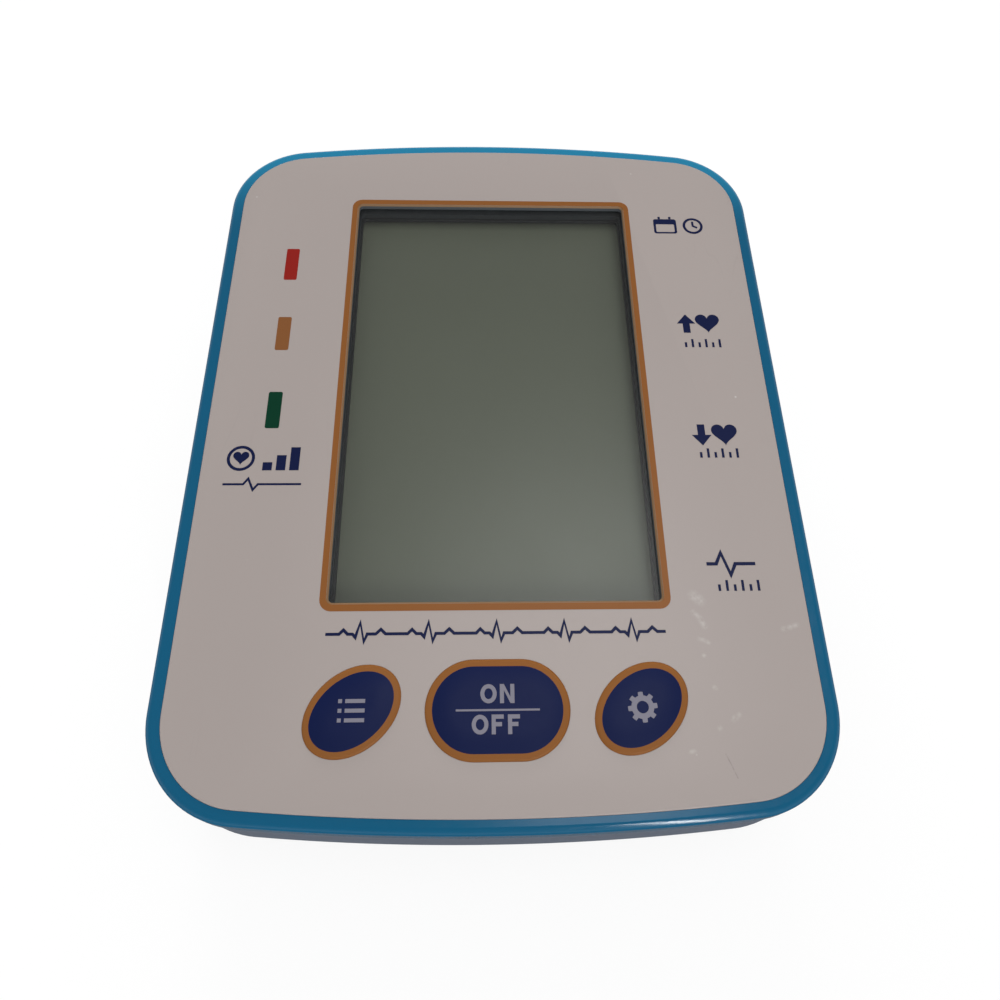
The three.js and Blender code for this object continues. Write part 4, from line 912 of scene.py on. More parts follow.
def keep_node(node, material, edge):
    """A CAD node that stays: its own material, and its edges eased a little, in millimetres."""
    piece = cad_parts[node]
    for place in piece.material_slots:
        place.material = material
    piece.modifiers.new("weld", "WELD").merge_threshold = 0.001 * MM
    flatten = piece.modifiers.new("flatten", "DECIMATE")
    flatten.decimate_type = "DISSOLVE"
    flatten.angle_limit = radians(1)
    ease = piece.modifiers.new("ease", "BEVEL")
    ease.width = edge * MM
    ease.segments = 2
    ease.limit_method = "ANGLE"
    ease.angle_limit = radians(30)
    piece.modifiers.new("smooth_shading", "NODES").node_group = smooth_shading
    even_shading(piece)


def striped_elastomer():
    made, tree, shader = new_material("striped_elastomer")
    stripes = add_node(tree, "ShaderNodeTexWave", {"bands_direction": "X"}, {
        "Vector": object_coords(tree),
        "Scale": 900,
    }).outputs["Fac"]
    feed(shader, {
        "Base Color": mixed_colour(tree, stripes, srgb(40, 38, 38), srgb(206, 170, 158)),
        "Roughness": 0.8,
    })
    return made


def foam_material(name, colour):
    made, tree, shader = new_material(name)
    pores = add_node(tree, "ShaderNodeTexVoronoi", inputs={
        "Vector": object_coords(tree),
        "Scale": 2200,
    }).outputs["Distance"]
    feed(shader, {
        "Base Color": mixed_colour(tree, pores, darkened(colour, 0.45), colour),
        "Normal": bump(tree, 0.8, 0.2, pores),
        "Roughness": 0.95,
    })
    return made


keep_node("display_window", clear_acrylic(), 0.1)
tape_low, tape_high, tape_edge = 0.01 - pane_depth, -panel_thickness - 0.01, 0.02
pane_tape = flat_band(window_outline(pane_lap), window_outline(tape_edge), tape_low, tape_high)
add_piece("pane_tape", solid(pane_tape, on_face), dark_tape_and_edge_shade, "casing", even=False)
black_plastic = moulded_plastic("black_plastic", srgb(29, 30, 32), 0.5, grain_scale=2600,
                                grain_depth=0.35, drift=0.15, dust=0.05, lines=0.2, specular=0.3)
keep_node("display_frame", black_plastic, 0.12)
# The glass darkens softly along its far edge: painted shade, where the frame's far wall shades the liquid
# crystal.
painted_shade_width = 2.6
painted_shade_end = (window_y + window_length / 2 + mid_height * sin(tilt)) * MM
display_cell = moulded_plastic("display_cell", srgb(92, 93, 79), 0.4, grain_scale=40, grain_depth=0.0,
                               drift=0.06, dust=0, lines=0, specular=0.4)
cell_tree = display_cell.node_tree
up_the_face = vector_maths(cell_tree, "DOT_PRODUCT", object_coords(cell_tree), on_face.col[1].to_3d())
far_painted_shade = ramp(cell_tree, up_the_face, painted_shade_end - painted_shade_width * MM, painted_shade_end, 0, 0.55, "SMOOTHSTEP")
lay_over(display_cell, far_painted_shade, srgb(44, 43, 40))
keep_node("display_glass", display_cell, 0.1)
keep_node("display_connector", striped_elastomer(), 0.15)

frame_thickness = 0.6
glass_front, glass_back, glass_lap = 1.5, 1.1, 2.8
connector_room = 3.6
glass_bottom = frame_depth + frame_thickness + fit + glass_front + glass_back
pad_near = window_y - window_length / 2 - glass_lap + connector_room + fit
pad_far = window_y + window_length / 2 + glass_lap - fit


def rounded_slab(width, length, corner, low, high, edge, centre_y):
    """A flat block with its upper and lower edges rounded over."""
    steps = 4
    rings = []
    for level, start, stop in ((low + edge, -pi / 2, 0), (high - edge, 0, pi / 2)):
        for i in range(steps + 1):
            angle = start + (stop - start) * i / steps
            inset = edge * (1 - cos(angle))
            outline = rounded_rectangle(width - 2 * inset, length - 2 * inset, max(corner - inset, 0.05), 0,
                                        centre_y)
            rings.append(flat_ring(outline, level + edge * sin(angle)))
    return loft(rings)


grey_foam = foam_material("grey_foam", srgb(92, 94, 97))
pad = rounded_slab(window_width, pad_far - pad_near, 1, -board_depth + fit, -glass_bottom - fit, 0.3,
                   (pad_near + pad_far) / 2)
pad_piece = add_piece("display_backing_foam", solid(pad, on_face), grey_foam, "casing",
                      ["display_backing_pad"])

# Keys
# Each cap is a crowned navy moulding with an orange edge, pushed up from below through the panel. A
# push switch stands under it on the board, and the plunger travels with the key.
key_proud, key_crown, key_round = 0.25, 0.45, 0.55
key_flange, key_flange_thickness, key_skin = 1, 0.9, 1.2
crown_reach, crown_steps = 4.5, 14
ring_width = {"memory": 1.1, "start_stop": 1.15, "set": 1.1}
flange_depth = deck_depth + fit
switch_height, plunger_height, stem_radius = 3.4, 1.2, 2
plunger_top = board_depth - fit - switch_height - plunger_height


def crown_height(inset):
    """Height of a cap's top over the panel, at a distance in from its edge."""
    if inset < key_round:
        return key_proud * sin(pi / 2 * inset / key_round)
    share = min((inset - key_round) / (crown_reach - key_round), 1)
    return key_proud + key_crown * sin(pi / 2 * share)


def key_cap(name, outline, x):
    flange_bottom = flange_depth + key_flange_thickness
    edge = [key_round * i / 5 for i in range(6)]
    insets = sorted({round(value, 4) for value in [
        *edge,
        ring_width[name],
        *[key_round + (crown_reach - key_round) * i / crown_steps for i in range(1, crown_steps + 1)],
    ]})
    rings = [
        flat_ring(outline(x, key_flange), -flange_bottom),
        flat_ring(outline(x, key_flange), -flange_depth),
        flat_ring(outline(x, 0), -flange_depth),
        *[flat_ring(outline(x, -inset), crown_height(inset)) for inset in insets],
    ]
    inside = prism(outline(x, -key_skin), -flange_bottom - fit, key_proud - key_skin)
    cup = worked(solid(loft(rings), on_face), cuts=[solid(inside, on_face)])
    stem = rod(stem_radius, x, key_row_y, -plunger_top + fit, key_proud - key_skin / 2)
    return worked(cup, joins=[solid(stem, on_face)])


def inside_outline(x, y, outline):
    crossings = 0
    for (ax, ay), (bx, by) in zip(outline, outline[1:] + outline[:1]):
        if (ay > y) != (by > y) and x < ax + (y - ay) / (by - ay) * (bx - ax):
            crossings += 1
    return crossings % 2 == 1


key_navy = moulded_plastic("key_navy", srgb(11, 24, 68), 0.42, grain_scale=1800, grain_depth=0.1,
                           drift=0.12, dust=0.02, lines=0.1, specular=0.15)
key_orange = moulded_plastic("key_orange", srgb(137, 87, 43), 0.45, grain_scale=1500, grain_depth=0.06,
                             drift=0.12, dust=0.02, lines=0, specular=0.12)
key_mark_ink = moulded_plastic("key_mark_ink", srgb(128, 126, 138), 0.4, grain_scale=1500,
                               grain_depth=0.05, dust=0, lines=0, specular=0.1)
cream_plastic = moulded_plastic("cream_plastic", srgb(214, 208, 190), 0.45, grain_scale=2200, drift=0.08,
                                dust=0.03, lines=0)
for name, outline, x in keys:
    cap = key_cap(name, outline, x)
    add_piece(f"{name}_key_cap", cap, [key_navy, key_orange], f"{name}_button",
              [f"{name}_key"])
    ring_inside = outline(x, -ring_width[name] + 0.01)
    for polygon in cap.polygons:
        centre = to_face @ (polygon.center / MM)
        on_top = centre.z > 0.3 and inside_outline(centre.x, centre.y, ring_inside)
        polygon.material_index = 0 if on_top else 1
    keep_node(f"{name}_switch", black_plastic, 0.15)
    keep_node(f"{name}_plunger", cream_plastic, 0.1)

stroke_width, letter_height = 0.64, 2.95
mark_low, mark_high = key_proud + key_crown - 0.02, key_proud + key_crown + 0.02


def mark(outline):
    return prism(outline, mark_low, mark_high)


def mark_band(outer, inner):
    return flat_band(outer, inner, mark_low, mark_high)


def oval(width, height, centre_x, centre_y):
    return [(centre_x + width / 2 * x, centre_y + height / 2 * y) for x, y in circle(1, 40)]


def letter_o(x, y, w, h):
    centre = (x + w / 2, y + h / 2)
    return mark_band(oval(w, h, *centre), oval(w - 2 * stroke_width, h - 2 * stroke_width, *centre))


def letter_n(x, y, w, h):
    t, slant = stroke_width, 1.5 * stroke_width
    points = [(0, 0), (t, 0), (t, h - slant), (w - t, 0), (w, 0),
              (w, h), (w - t, h), (w - t, slant), (t, h), (0, h)]
    return mark([(x + px, y + py) for px, py in points])


def letter_f(x, y, w, h):
    t, bar = stroke_width, 0.4 * h
    points = [(0, 0), (t, 0), (t, bar), (0.85 * w, bar), (0.85 * w, bar + t),
              (t, bar + t), (t, h - t), (w, h - t), (w, h), (0, h)]
    return mark([(x + px, y + py) for px, py in points])


on_y, off_y = key_row_y + 0.85, key_row_y - 3.8
centre_marks = [
    letter_o(-2.75, on_y, 2.6, letter_height),
    letter_n(0.35, on_y, 2.3, letter_height),
    letter_o(-4.1, off_y, 2.6, letter_height),
    letter_f(-1.0, off_y, 1.9, letter_height),
    letter_f(1.55, off_y, 1.9, letter_height),
    mark(box_outline(-6.6, 6.6, key_row_y - 0.32, key_row_y - 0.02)),
]
add_piece("start_stop_key_marks", solid(several(centre_marks), on_face), key_mark_ink, "start_stop_button",
          even=False)


gear_tip, gear_root, gear_hole = 2.35, 1.8, 0.95
gear_steps, tooth_steps = 96, 12


def gear(x, y):
    outer = []
    for i in range(gear_steps):
        radius = gear_tip if i % tooth_steps in (0, 1, 2, 3, 4, 11) else gear_root
        outer.append((x + radius * cos(2 * pi * i / gear_steps), y + radius * sin(2 * pi * i / gear_steps)))
    return mark_band(outer, circle(gear_hole, gear_steps, x, y))


list_marks = []
for row in (-1, 0, 1):
    y = key_row_y + 1.45 * row
    for left, right in ((-2.1, -1.5), (-1.0, 2.1)):
        list_marks.append(mark(box_outline(left - side_key_x, right - side_key_x, y - 0.3, y + 0.3)))
for name, shape in [("set", gear(side_key_x, key_row_y)), ("memory", several(list_marks))]:
    add_piece(f"{name}_key_marks", solid(shape, on_face), key_mark_ink, f"{name}_button",
              even=False)

# Circuit board and what stands under it
# A green glass fibre board with its tracks under the solder mask. The processor, the buzzer and the
# pressure sensor hang below it, and four small screws hold it to the upper housing.


def circuit_board():
    made, tree, shader = new_material("solder_mask")
    coords = object_coords(tree)
    glass_cloth = add_node(tree, "ShaderNodeTexBrick", inputs={
        "Vector": coords,
        "Scale": 260,
        "Color1": srgb(22, 92, 52),
        "Color2": srgb(28, 108, 60),
        "Mortar": srgb(46, 140, 80),
        "Mortar Size": 0.05,
    }).outputs
    feed(shader, {
        "Base Color": glass_cloth["Color"],
        "Roughness": ramp(tree, noise(tree, coords, 1500), 0, 1, 0.25, 0.45),
        "Normal": bump(tree, 0.3, 0.05, glass_cloth["Fac"]),
    })
    return made


def bright_metal(name, colour, roughness, brushed=(1, 1, 1)):
    """Drawn, plated or brushed metal: fine lines along one direction and faint stains."""
    made, tree, shader = new_material(name)
    coords = object_coords(tree)
    along = add_node(tree, "ShaderNodeMapping", inputs={"Vector": coords, "Scale": brushed}).outputs[0]
    fine_lines = noise(tree, along, 900, 4)
    feed(shader, {
        "Base Color": mixed_colour(tree, noise(tree, coords, 120, 3), colour, darkened(colour, 0.72)),
        "Roughness": ramp(tree, fine_lines, 0, 1, roughness - 0.08, roughness + 0.12),
        "Normal": bump(tree, 0.2, 0.03, fine_lines),
        "Metallic": 1,
    })
    return made


def arc(x, y, radius, start, stop, steps):
    """Points of an arc round x and y, from one angle in degrees to another."""
    angles = [radians(start + (stop - start) * i / steps) for i in range(steps + 1)]
    return [(x + radius * cos(angle), y + radius * sin(angle)) for angle in angles]


def turned(profile, sides):
    """A closed body turned about +Z, through [radius, height] pairs from the bottom to the top."""
    return loft([flat_ring(circle(radius, sides), height) for radius, height in profile])


def turned_pipe(profile, sides):
    return hollow([flat_ring(circle(radius, sides), height) for radius, height in profile])


def cross_screw(radius, length, head_radius, head_height, pitch):
    """A pan head screw, its seat at the origin and its point up, with a cross recess and a thread."""
    core, shank = radius * 0.8, 0.4
    profile = [(0.3, -head_height)]
    for x, y in arc(0, 0, 1, 90, 0, 6):
        profile.append((head_radius * (0.55 + 0.45 * x), -head_height * (0.45 + 0.55 * y)))
    profile += [(head_radius, -0.15), (head_radius - 0.15, 0), (core, 0), (core, shank)]
    for i in range(int((length - radius - shank) / pitch)):
        low = shank + i * pitch
        profile += [(core, low + 0.25 * pitch), (radius, low + 0.6 * pitch), (core, low + 0.95 * pitch)]
    profile += [(radius * 0.75, length - radius), (0.15, length)]
    arm, slot = head_radius * 0.55, head_radius * 0.13
    above, bottom = -head_height - 1, -0.45 * head_height
    recess = [
        solid(block(-arm, arm, -slot, slot, above, bottom)),
        solid(block(-slot, slot, -arm, arm, above, bottom)),
    ]
    return worked(solid(turned(profile, 40)), cuts=recess)


keep_node("main_circuit_board", circuit_board(), 0.1)
keep_node("processor_chip", black_plastic, 0.15)
keep_node("buzzer", black_plastic, 0.2)
keep_node("pressure_sensor", cream_plastic, 0.15)
zinc_steel = bright_metal("zinc_steel", srgb(196, 197, 200), 0.32)
for i, (x, y) in enumerate(board_screws):
    screw = cross_screw(board_screw_radius, board_screw_length, head_radius=2, head_height=1.2, pitch=0.5)
    place = on_face @ Matrix.Translation((x, y, -board_bottom - fit))
    screw.transform(Matrix.Scale(MM, 4) @ place @ Matrix.Scale(1 / MM, 4))
    add_piece(f"board_screw_{i + 1}_turned", screw, zinc_steel, "casing", [f"board_screw_{i + 1}"])

# Lower housing
# A light grey moulding with a fine spark-eroded skin: a tub whose walls curve in to the underside. It
# has the battery bay, the screw bosses, the saddles of the pump and the shelves of what it carries.
foot_stand = 1
floor_thickness = 2.2
floor_top = foot_stand + floor_thickness
base_inset, base_height, base_steps = 5, 8, 12
boss_radius, screw_hole_radius = 3.6, 3
cell_count, cell_radius, cell_pitch = 4, 7.25, 15
door_thickness, door_gap, door_lap, door_corner = 1.8, 0.35, 1.2, 1.5
cell_height = foot_stand + door_thickness + 0.6 + cell_radius
spring_end, button_end = 5.3, 1.5
cell_length = 50.5
bay_far = half_face - 17.7
bay_near = bay_far - spring_end - cell_length - button_end
bay_half = cell_count * cell_pitch / 2 + fit
bay_x = inner_side - 5.4 - bay_half
bay_top = cell_height + cell_radius + 0.4
bay_wall = 1.6
door_near, door_far = bay_near - door_lap, bay_far + door_lap
door_half = bay_half + door_lap
door_top = foot_stand + door_thickness
foot_x, foot_y = inner_side - 18.2, half_face - 9.5
foot_radius, foot_recess = 4, 0.8
pump_side_room, pump_half, pump_length, pump_nozzle_inset = 2.4, 9, 15, 2.4
pump_x = pump_side_room + pump_half - inner_side
motor_radius, motor_length, motor_boss = 9, 28, 1.6
motor_near = half_face - 19.8 - motor_boss - motor_length
pump_near = motor_near - fit - pump_length
sleeve_radius, sleeve_length = motor_radius + 1.5, 18
pump_height = floor_top + fit + sleeve_radius
socket_y, socket_height = 31.7 - half_face, 13.5
socket_radius, socket_length, flange_radius, flange_thickness = 5.8, 14, 7.2, 1.2
jack_y, jack_height, jack_tall, jack_length = 33.7 - half_face, 15, 11, 13
jack_hole_radius = 4.7
shelf_half, rib_half, guide_half = 4, 1, 0.6
latch_width, latch_height, latch_slit = 12, 2.4, 0.8
scoop_radius, scoop_depth = 6, 1.4
hook_x = [bay_x - 15, bay_x + 15]
hook_width = 6
contacts = [
    ("contact_lead_minus", [0], False),
    ("contact_bridge_near", [1, 2], False),
    ("contact_lead_plus", [3], False),
    ("contact_bridge_far_left", [0, 1], True),
    ("contact_bridge_far_right", [2, 3], True),
]
contact_thickness, contact_tall, contact_width = 0.5, 10, 9


def level_ring(grow, height):
    return [(x, y * cos(tilt), height) for x, y in face_outline(grow)]


def tub(inset, low, top_drop):
    rings = []
    for i in range(base_steps + 1):
        angle = pi / 2 * i / base_steps
        grow = tub_grow - inset - base_inset * (1 - sin(angle))
        rings.append(level_ring(grow, low + base_height * (1 - cos(angle))))
    rings.append(slope_ring(tub_grow - inset, top_drop))
    return solid(loft(rings))


def door_outline(grow):
    return rounded_rectangle(2 * (door_half + grow), door_far - door_near + 2 * grow, door_corner + grow,
                             bay_x, (door_near + door_far) / 2)


def cell_x(i):
    return bay_x + (i - (cell_count - 1) / 2) * cell_pitch


def along_x(x, y, z, flip=1):
    """A place whose +Z axis points along X."""
    return Matrix.Translation((x, y, z)) @ Matrix.Rotation(flip * pi / 2, 4, "Y")


def along_y(x, y, z, flip=1):
    """A place whose +Z axis points along Y."""
    return Matrix.Translation((x, y, z)) @ Matrix.Rotation(-flip * pi / 2, 4, "X")


def saddle(rest, radius, place, sides):
    """A rest with the round hollow that a part lies in."""
    return worked(solid(rest), cuts=[solid(rod(radius + fit, 0, 0, -wall, wall, sides), place)])


def lower_housing():
    low = floor_top - fit
    joins = [
        solid(block(bay_x - bay_half - bay_wall, bay_x + bay_half + bay_wall, bay_near - bay_wall,
                    bay_far + bay_wall, low, bay_top + bay_wall)),
        solid(rod(scoop_radius + bay_wall, bay_x, door_near, low, floor_top + bay_wall, 48)),
    ]
    for side_x, side_y in four_corners:
        joins.append(solid(rod(boss_radius, side_x * boss_x, side_y * boss_y, low, boss_top, 40)))
    for side in (-1, 1):
        y = motor_near + motor_length / 2 + side * (sleeve_length / 2 - 3)
        rest = block(pump_x - motor_radius, pump_x + motor_radius, y - rib_half, y + rib_half, low,
                     pump_height - sleeve_radius / 2)
        joins.append(saddle(rest, sleeve_radius, along_y(pump_x, y, pump_height), 64))
    cradle_x = -inner_side + socket_length / 2
    cradle = block(cradle_x - 2 * rib_half, cradle_x, socket_y - socket_radius, socket_y + socket_radius, low,
                   socket_height)
    joins.append(saddle(cradle, socket_radius, along_x(cradle_x - rib_half, socket_y, socket_height), 48))
    for x, y, top in [
        (inner_side - fit - jack_length / 2, jack_y, jack_height - jack_tall / 2),
        (pump_x, pump_near + pump_length / 2, pump_height - pump_half),
    ]:
        joins.append(solid(block(x - shelf_half, x + shelf_half, y - rib_half, y + rib_half, low, top - fit)))

    ridge = [(-3, bay_top + fit), (-3, bay_top), (-0.8, bay_top - 3), (0.8, bay_top - 3), (3, bay_top),
             (3, bay_top + fit)]
    stays = []
    ridge_start, ridge_stop = bay_near + spring_end + 2, bay_far - spring_end - 2
    for i in range(1, cell_count):
        x = (cell_x(i - 1) + cell_x(i)) / 2
        rings = [[(x + across, y, height) for across, height in ridge] for y in (ridge_start, ridge_stop)]
        stays.append(solid(loft(rings)))
    depth = contact_thickness + 2 * fit
    for _, cells, at_far_end in contacts:
        places = [cell_x(i) for i in cells]
        reach = contact_width / 2 + fit + guide_half
        wall_y, inwards = (bay_far, -1) if at_far_end else (bay_near, 1)
        y0, y1 = sorted((wall_y - inwards * fit, wall_y + inwards * depth))
        for x in (min(places) - reach, max(places) + reach):
            stays.append(solid(block(x - guide_half, x + guide_half, y0, y1, cell_height - contact_tall / 2,
                                     bay_top + fit)))
    bay = worked(
        solid(block(bay_x - bay_half, bay_x + bay_half, bay_near, bay_far, 0, bay_top)),
        cuts=stays,
    )

    cuts = [bay, solid(prism(door_outline(door_gap), 0, door_top + fit))]
    cuts.append(solid(rod(scoop_radius, bay_x, door_near, 0, foot_stand + scoop_depth, 48)))
    for x in hook_x:
        reach = hook_width / 2 + door_gap
        cuts.append(solid(block(x - reach, x + reach, bay_far - fit, door_far + bay_wall, door_top,
                                foot_stand + 6)))
    reach = latch_width / 2 + door_gap
    cuts.append(solid(block(bay_x - reach, bay_x + reach, door_near - door_gap, bay_near + fit,
                            door_top - fit, door_top + latch_height + 2 * fit)))
    for side_x, side_y in four_corners:
        x, y = side_x * boss_x, side_y * boss_y
        cuts.append(solid(rod(screw_radius + fit, x, y, 0, boss_top + fit)))
        cuts.append(solid(rod(screw_hole_radius, x, y, 0, screw_seat, 40)))
        x, y = side_x * foot_x, side_y * foot_y
        cuts.append(solid(rod(foot_radius + fit, x, y, 0, foot_stand + foot_recess, 56)))
    socket_place = along_x(-outer_side, socket_y, socket_height)
    jack_place = along_x(outer_side, jack_y, jack_height)
    cuts.append(solid(rod(socket_radius + fit, 0, 0, -2 * wall, 2 * wall, 64), socket_place))
    cuts.append(solid(rod(flange_radius + fit, 0, 0, -2 * wall, flange_thickness + fit, 64), socket_place))
    cuts.append(solid(rod(jack_hole_radius, 0, 0, -2 * wall, 2 * wall, 56), jack_place))
    inside = tub(wall, floor_top, cover_depth - tongue_length)
    return worked(worked(tub(0, foot_stand, cover_depth + fit), cuts=[inside]), joins, cuts)


grey_plastic = moulded_plastic("grey_plastic", srgb(98, 106, 119), 0.7, grain_scale=2600,
                               grain_depth=0.5, dust=0.05, lines=0.15, specular=0.15)
add_piece("lower_housing_tub", lower_housing(), grey_plastic, "casing", ["lower_housing"])

# Battery door
# The same grey moulding: two hooks at the far edge, a springy latch tongue between two slits at the near
# edge, five grip ribs and an arrow outside, and stiffening ribs inside.
door_edge = 0.3
hook_thickness, hook_reach, latch_thickness, slit_length = 1.4, 2.4, 1.2, 7
rib_height, rib_reach, rib_count, rib_pitch = 0.4, 8, 5, 2
arrow_half, arrow_length, arrow_from_slit = 3, 3.2, 19


def grip_rib(y):
    """A rib of half round section, standing out of the door's outside."""
    section = arc(0, 0, rib_height, 0, -180, 8) + [(-rib_height, rib_height), (rib_height, rib_height)]
    ends = (bay_x - rib_reach, bay_x + rib_reach)
    return solid(loft([[(x, y + across, foot_stand + height) for across, height in section] for x in ends]))


def battery_door():
    rings = []
    for across, down in arc(0, 0, door_edge, 0, 90, 4):
        rings.append(flat_ring(door_outline(down - door_edge), foot_stand + door_edge - across))
    panel = solid(loft([*rings, flat_ring(door_outline(0), door_top)]))
    slits = []
    for side in (-1, 1):
        x = bay_x + side * (latch_width / 2 + latch_slit / 2)
        slits.append(solid(block(x - latch_slit / 2, x + latch_slit / 2, door_near - fit,
                                 door_near + slit_length, 0, door_top + fit)))
    panel = worked(panel, cuts=slits)
    root = door_far - door_lap - door_gap - hook_thickness
    low, rooted = floor_top + fit, foot_stand + 0.5
    joins = []
    for x in hook_x:
        left, right = x - hook_width / 2, x + hook_width / 2
        upright = block(left, right, root, root + hook_thickness, rooted, low + hook_thickness)
        tab = block(left, right, root, door_far + hook_reach, low, low + hook_thickness)
        joins.append(worked(solid(upright), joins=[solid(tab)]))
    left, right = bay_x - latch_width / 2, bay_x + latch_width / 2
    tongue_far = door_near + latch_thickness + door_lap
    tongue = block(left, right, tongue_far - latch_thickness, tongue_far, rooted, door_top + latch_height)
    lip = block(left, right, door_near, tongue_far, door_top + fit, door_top + latch_thickness)
    joins += [solid(tongue), solid(lip)]
    joins += [grip_rib(door_near + slit_length + rib_pitch * (i + 1)) for i in range(rib_count)]
    for side in (-1, 0, 1):
        y = (bay_near + bay_far) / 2 + side * (bay_far - bay_near) / 4
        joins.append(solid(block(bay_x - bay_half + door_lap, bay_x + bay_half - door_lap, y - rib_height,
                                 y + rib_height, rooted, door_top + 0.3)))
    tip = door_near + slit_length + arrow_from_slit
    arrow_base = [(bay_x + side * arrow_half, tip - arrow_length) for side in (-1, 1)]
    joins.append(solid(prism([*arrow_base, (bay_x, tip)], foot_stand - 0.2, foot_stand + 0.4)))
    return worked(panel, joins)


add_piece("battery_door_panel", battery_door(), grey_plastic, "door", ["battery_door"])

# Cells
# Four round 1.5 V cells with plain printed sleeves shrunk over the steel can. The nub is the plus end,
# and a light band marks it.
metal_radius, band_start = 6.3, 34
cell_edge, nub_height, nub_radius, nub_edge = 0.4, 1, 2.75, 0.3


def cell_body():
    """The can, from its flat end to the shoulder and the nub."""
    side, shoulder = cell_radius - cell_edge, cell_length - nub_height
    can = [(0.4, 0), (5.1, 0), (5.6, 0.5), (6.2, 0.5), *arc(side, 0.65, cell_edge, -90, 0, 6)]
    can += [(cell_radius, height) for height in (12, band_start, 45)]
    can += arc(side, shoulder - cell_edge, cell_edge, 0, 90, 6)
    can += [(6.2, shoulder - 0.2), (3.1, shoulder - 0.1), (nub_radius, shoulder)]
    can += arc(nub_radius - nub_edge, cell_length - nub_edge, nub_edge, 0, 90, 6)
    return turned([*can, (0.4, cell_length)], 56)


cell_sleeve = moulded_plastic("cell_sleeve", srgb(54, 74, 96), 0.3, grain_scale=1400, grain_depth=0.05,
                              dust=0.02, lines=0.2)
feed(cell_sleeve.node_tree.nodes["Principled BSDF"], {"Metallic": 0.4})
cell_band = moulded_plastic("cell_band", srgb(188, 190, 188), 0.3, grain_scale=1400, grain_depth=0.05,
                            dust=0.02, lines=0)
cell_metal = bright_metal("cell_metal", srgb(200, 200, 196), 0.25)
for i in range(cell_count):
    points_near = i % 2 == 0
    start = bay_near + spring_end if points_near else bay_far - spring_end
    place = along_y(cell_x(i), start, cell_height, 1 if points_near else -1)
    mesh = solid(cell_body(), place)
    add_piece(f"cell_{i + 1}_can", mesh, [cell_sleeve, cell_band, cell_metal], "casing",
              [f"cell_{i + 1}"])
    away = place.inverted()
    for polygon in mesh.polygons:
        centre = away @ (polygon.center / MM)
        if centre.xy.length < metal_radius:
            polygon.material_index = 2
        elif centre.z > band_start:
            polygon.material_index = 1

# Battery contacts
# Stamped plates of nickel plated spring steel, which slide into the ends of the bay. A conical wire
# spring presses on a cell's flat end, and a dimple meets its nub.
spring_wire, spring_base, spring_tip, spring_height = 0.7, 4.2, 2.6, 4.2
spring_turns, seat_turns, rising_turns, turn_steps = 4, 0.8, 2.6, 22
spring_sink = 0.05
dimple_radius, dimple_height = 2.6, 0.4


def swept(path, radius, sides, bore=0.0):
    """A tube along points, with a bore where one is given."""
    rings, normal = [], None
    points = [Vector(point) for point in path]
    for i, point in enumerate(points):
        tangent = (points[min(i + 1, len(points) - 1)] - points[max(i - 1, 0)]).normalized()
        if normal is None:
            normal = tangent.orthogonal()
        normal = (normal - tangent * normal.dot(tangent)).normalized()
        side = tangent.cross(normal)
        rings.append((point, normal.copy(), side))

    def ring(reach, at):
        centre, normal, side = at
        return [tuple(centre + normal * x + side * y) for x, y in circle(reach, sides)]

    outer = [ring(radius, at) for at in rings]
    if not bore:
        return loft(outer)
    return hollow(outer + [ring(bore, at) for at in reversed(rings)])


def spring_line():
    path = []
    for i in range(turn_steps * spring_turns + 1):
        turns = i / turn_steps
        rise = min(max((turns - seat_turns) / rising_turns, 0), 1)
        radius = spring_base + (spring_tip - spring_base) * min(turns / (seat_turns + rising_turns), 1)
        height = spring_wire / 2 - spring_sink + (spring_height - spring_wire + spring_sink) * rise
        path.append((radius * cos(2 * pi * turns), radius * sin(2 * pi * turns), height))
    return path


contact_nickel = bright_metal("contact_nickel", srgb(206, 202, 192), 0.24)
for name, cells, at_far_end in contacts:
    places = [cell_x(i) for i in cells]
    wall_y, flip = (bay_far, -1) if at_far_end else (bay_near, 1)
    near_edge, far_edge = sorted((wall_y + flip * fit, wall_y + flip * (fit + contact_thickness)))
    middle = (max(places) + min(places)) / 2
    outline = rounded_rectangle(max(places) - min(places) + contact_width, contact_tall, 0.8, middle)
    plate = loft([[(x, y, cell_height + z) for x, z in outline] for y in (far_edge, near_edge)])
    joins = []
    for i in cells:
        seat = along_y(cell_x(i), wall_y + flip * (fit + contact_thickness), cell_height, flip)
        if (i % 2 == 0) != at_far_end:
            joins.append(solid(swept(spring_line(), spring_wire / 2, 12), seat))
        else:
            dome = [(dimple_radius * x, dimple_height * y) for x, y in arc(0, 0, 1, 0, 75, 5)]
            rim = [(dimple_radius + 0.15, -0.2), (dimple_radius + 0.15, 0)]
            joins.append(solid(turned([*rim, *dome, (0.2, dimple_height)], 36), seat))
    add_piece(f"{name}_plate", worked(solid(plate), joins), contact_nickel, "casing",
              [name])

# Feet and casing screws
# Four soft rubber feet are glued into round recesses. Four long pan head screws come up through the
# bosses of the lower housing and bite into the posts of the upper one.
foot_edge, dish_depth, dish_radius = 0.4, 0.12, 2.6


def foot():
    """A pad with its lower edge rounded over and a shallow dish in its underside."""
    height = foot_stand + foot_recess - fit
    profile = [(0.6, dish_depth), (dish_radius, dish_depth), (dish_radius + 0.3, 0), (3.4, 0)]
    profile += arc(foot_radius - foot_edge, foot_edge, foot_edge, -90, 0, 5)
    return turned([*profile, (foot_radius, height), (0.6, height)], 56)


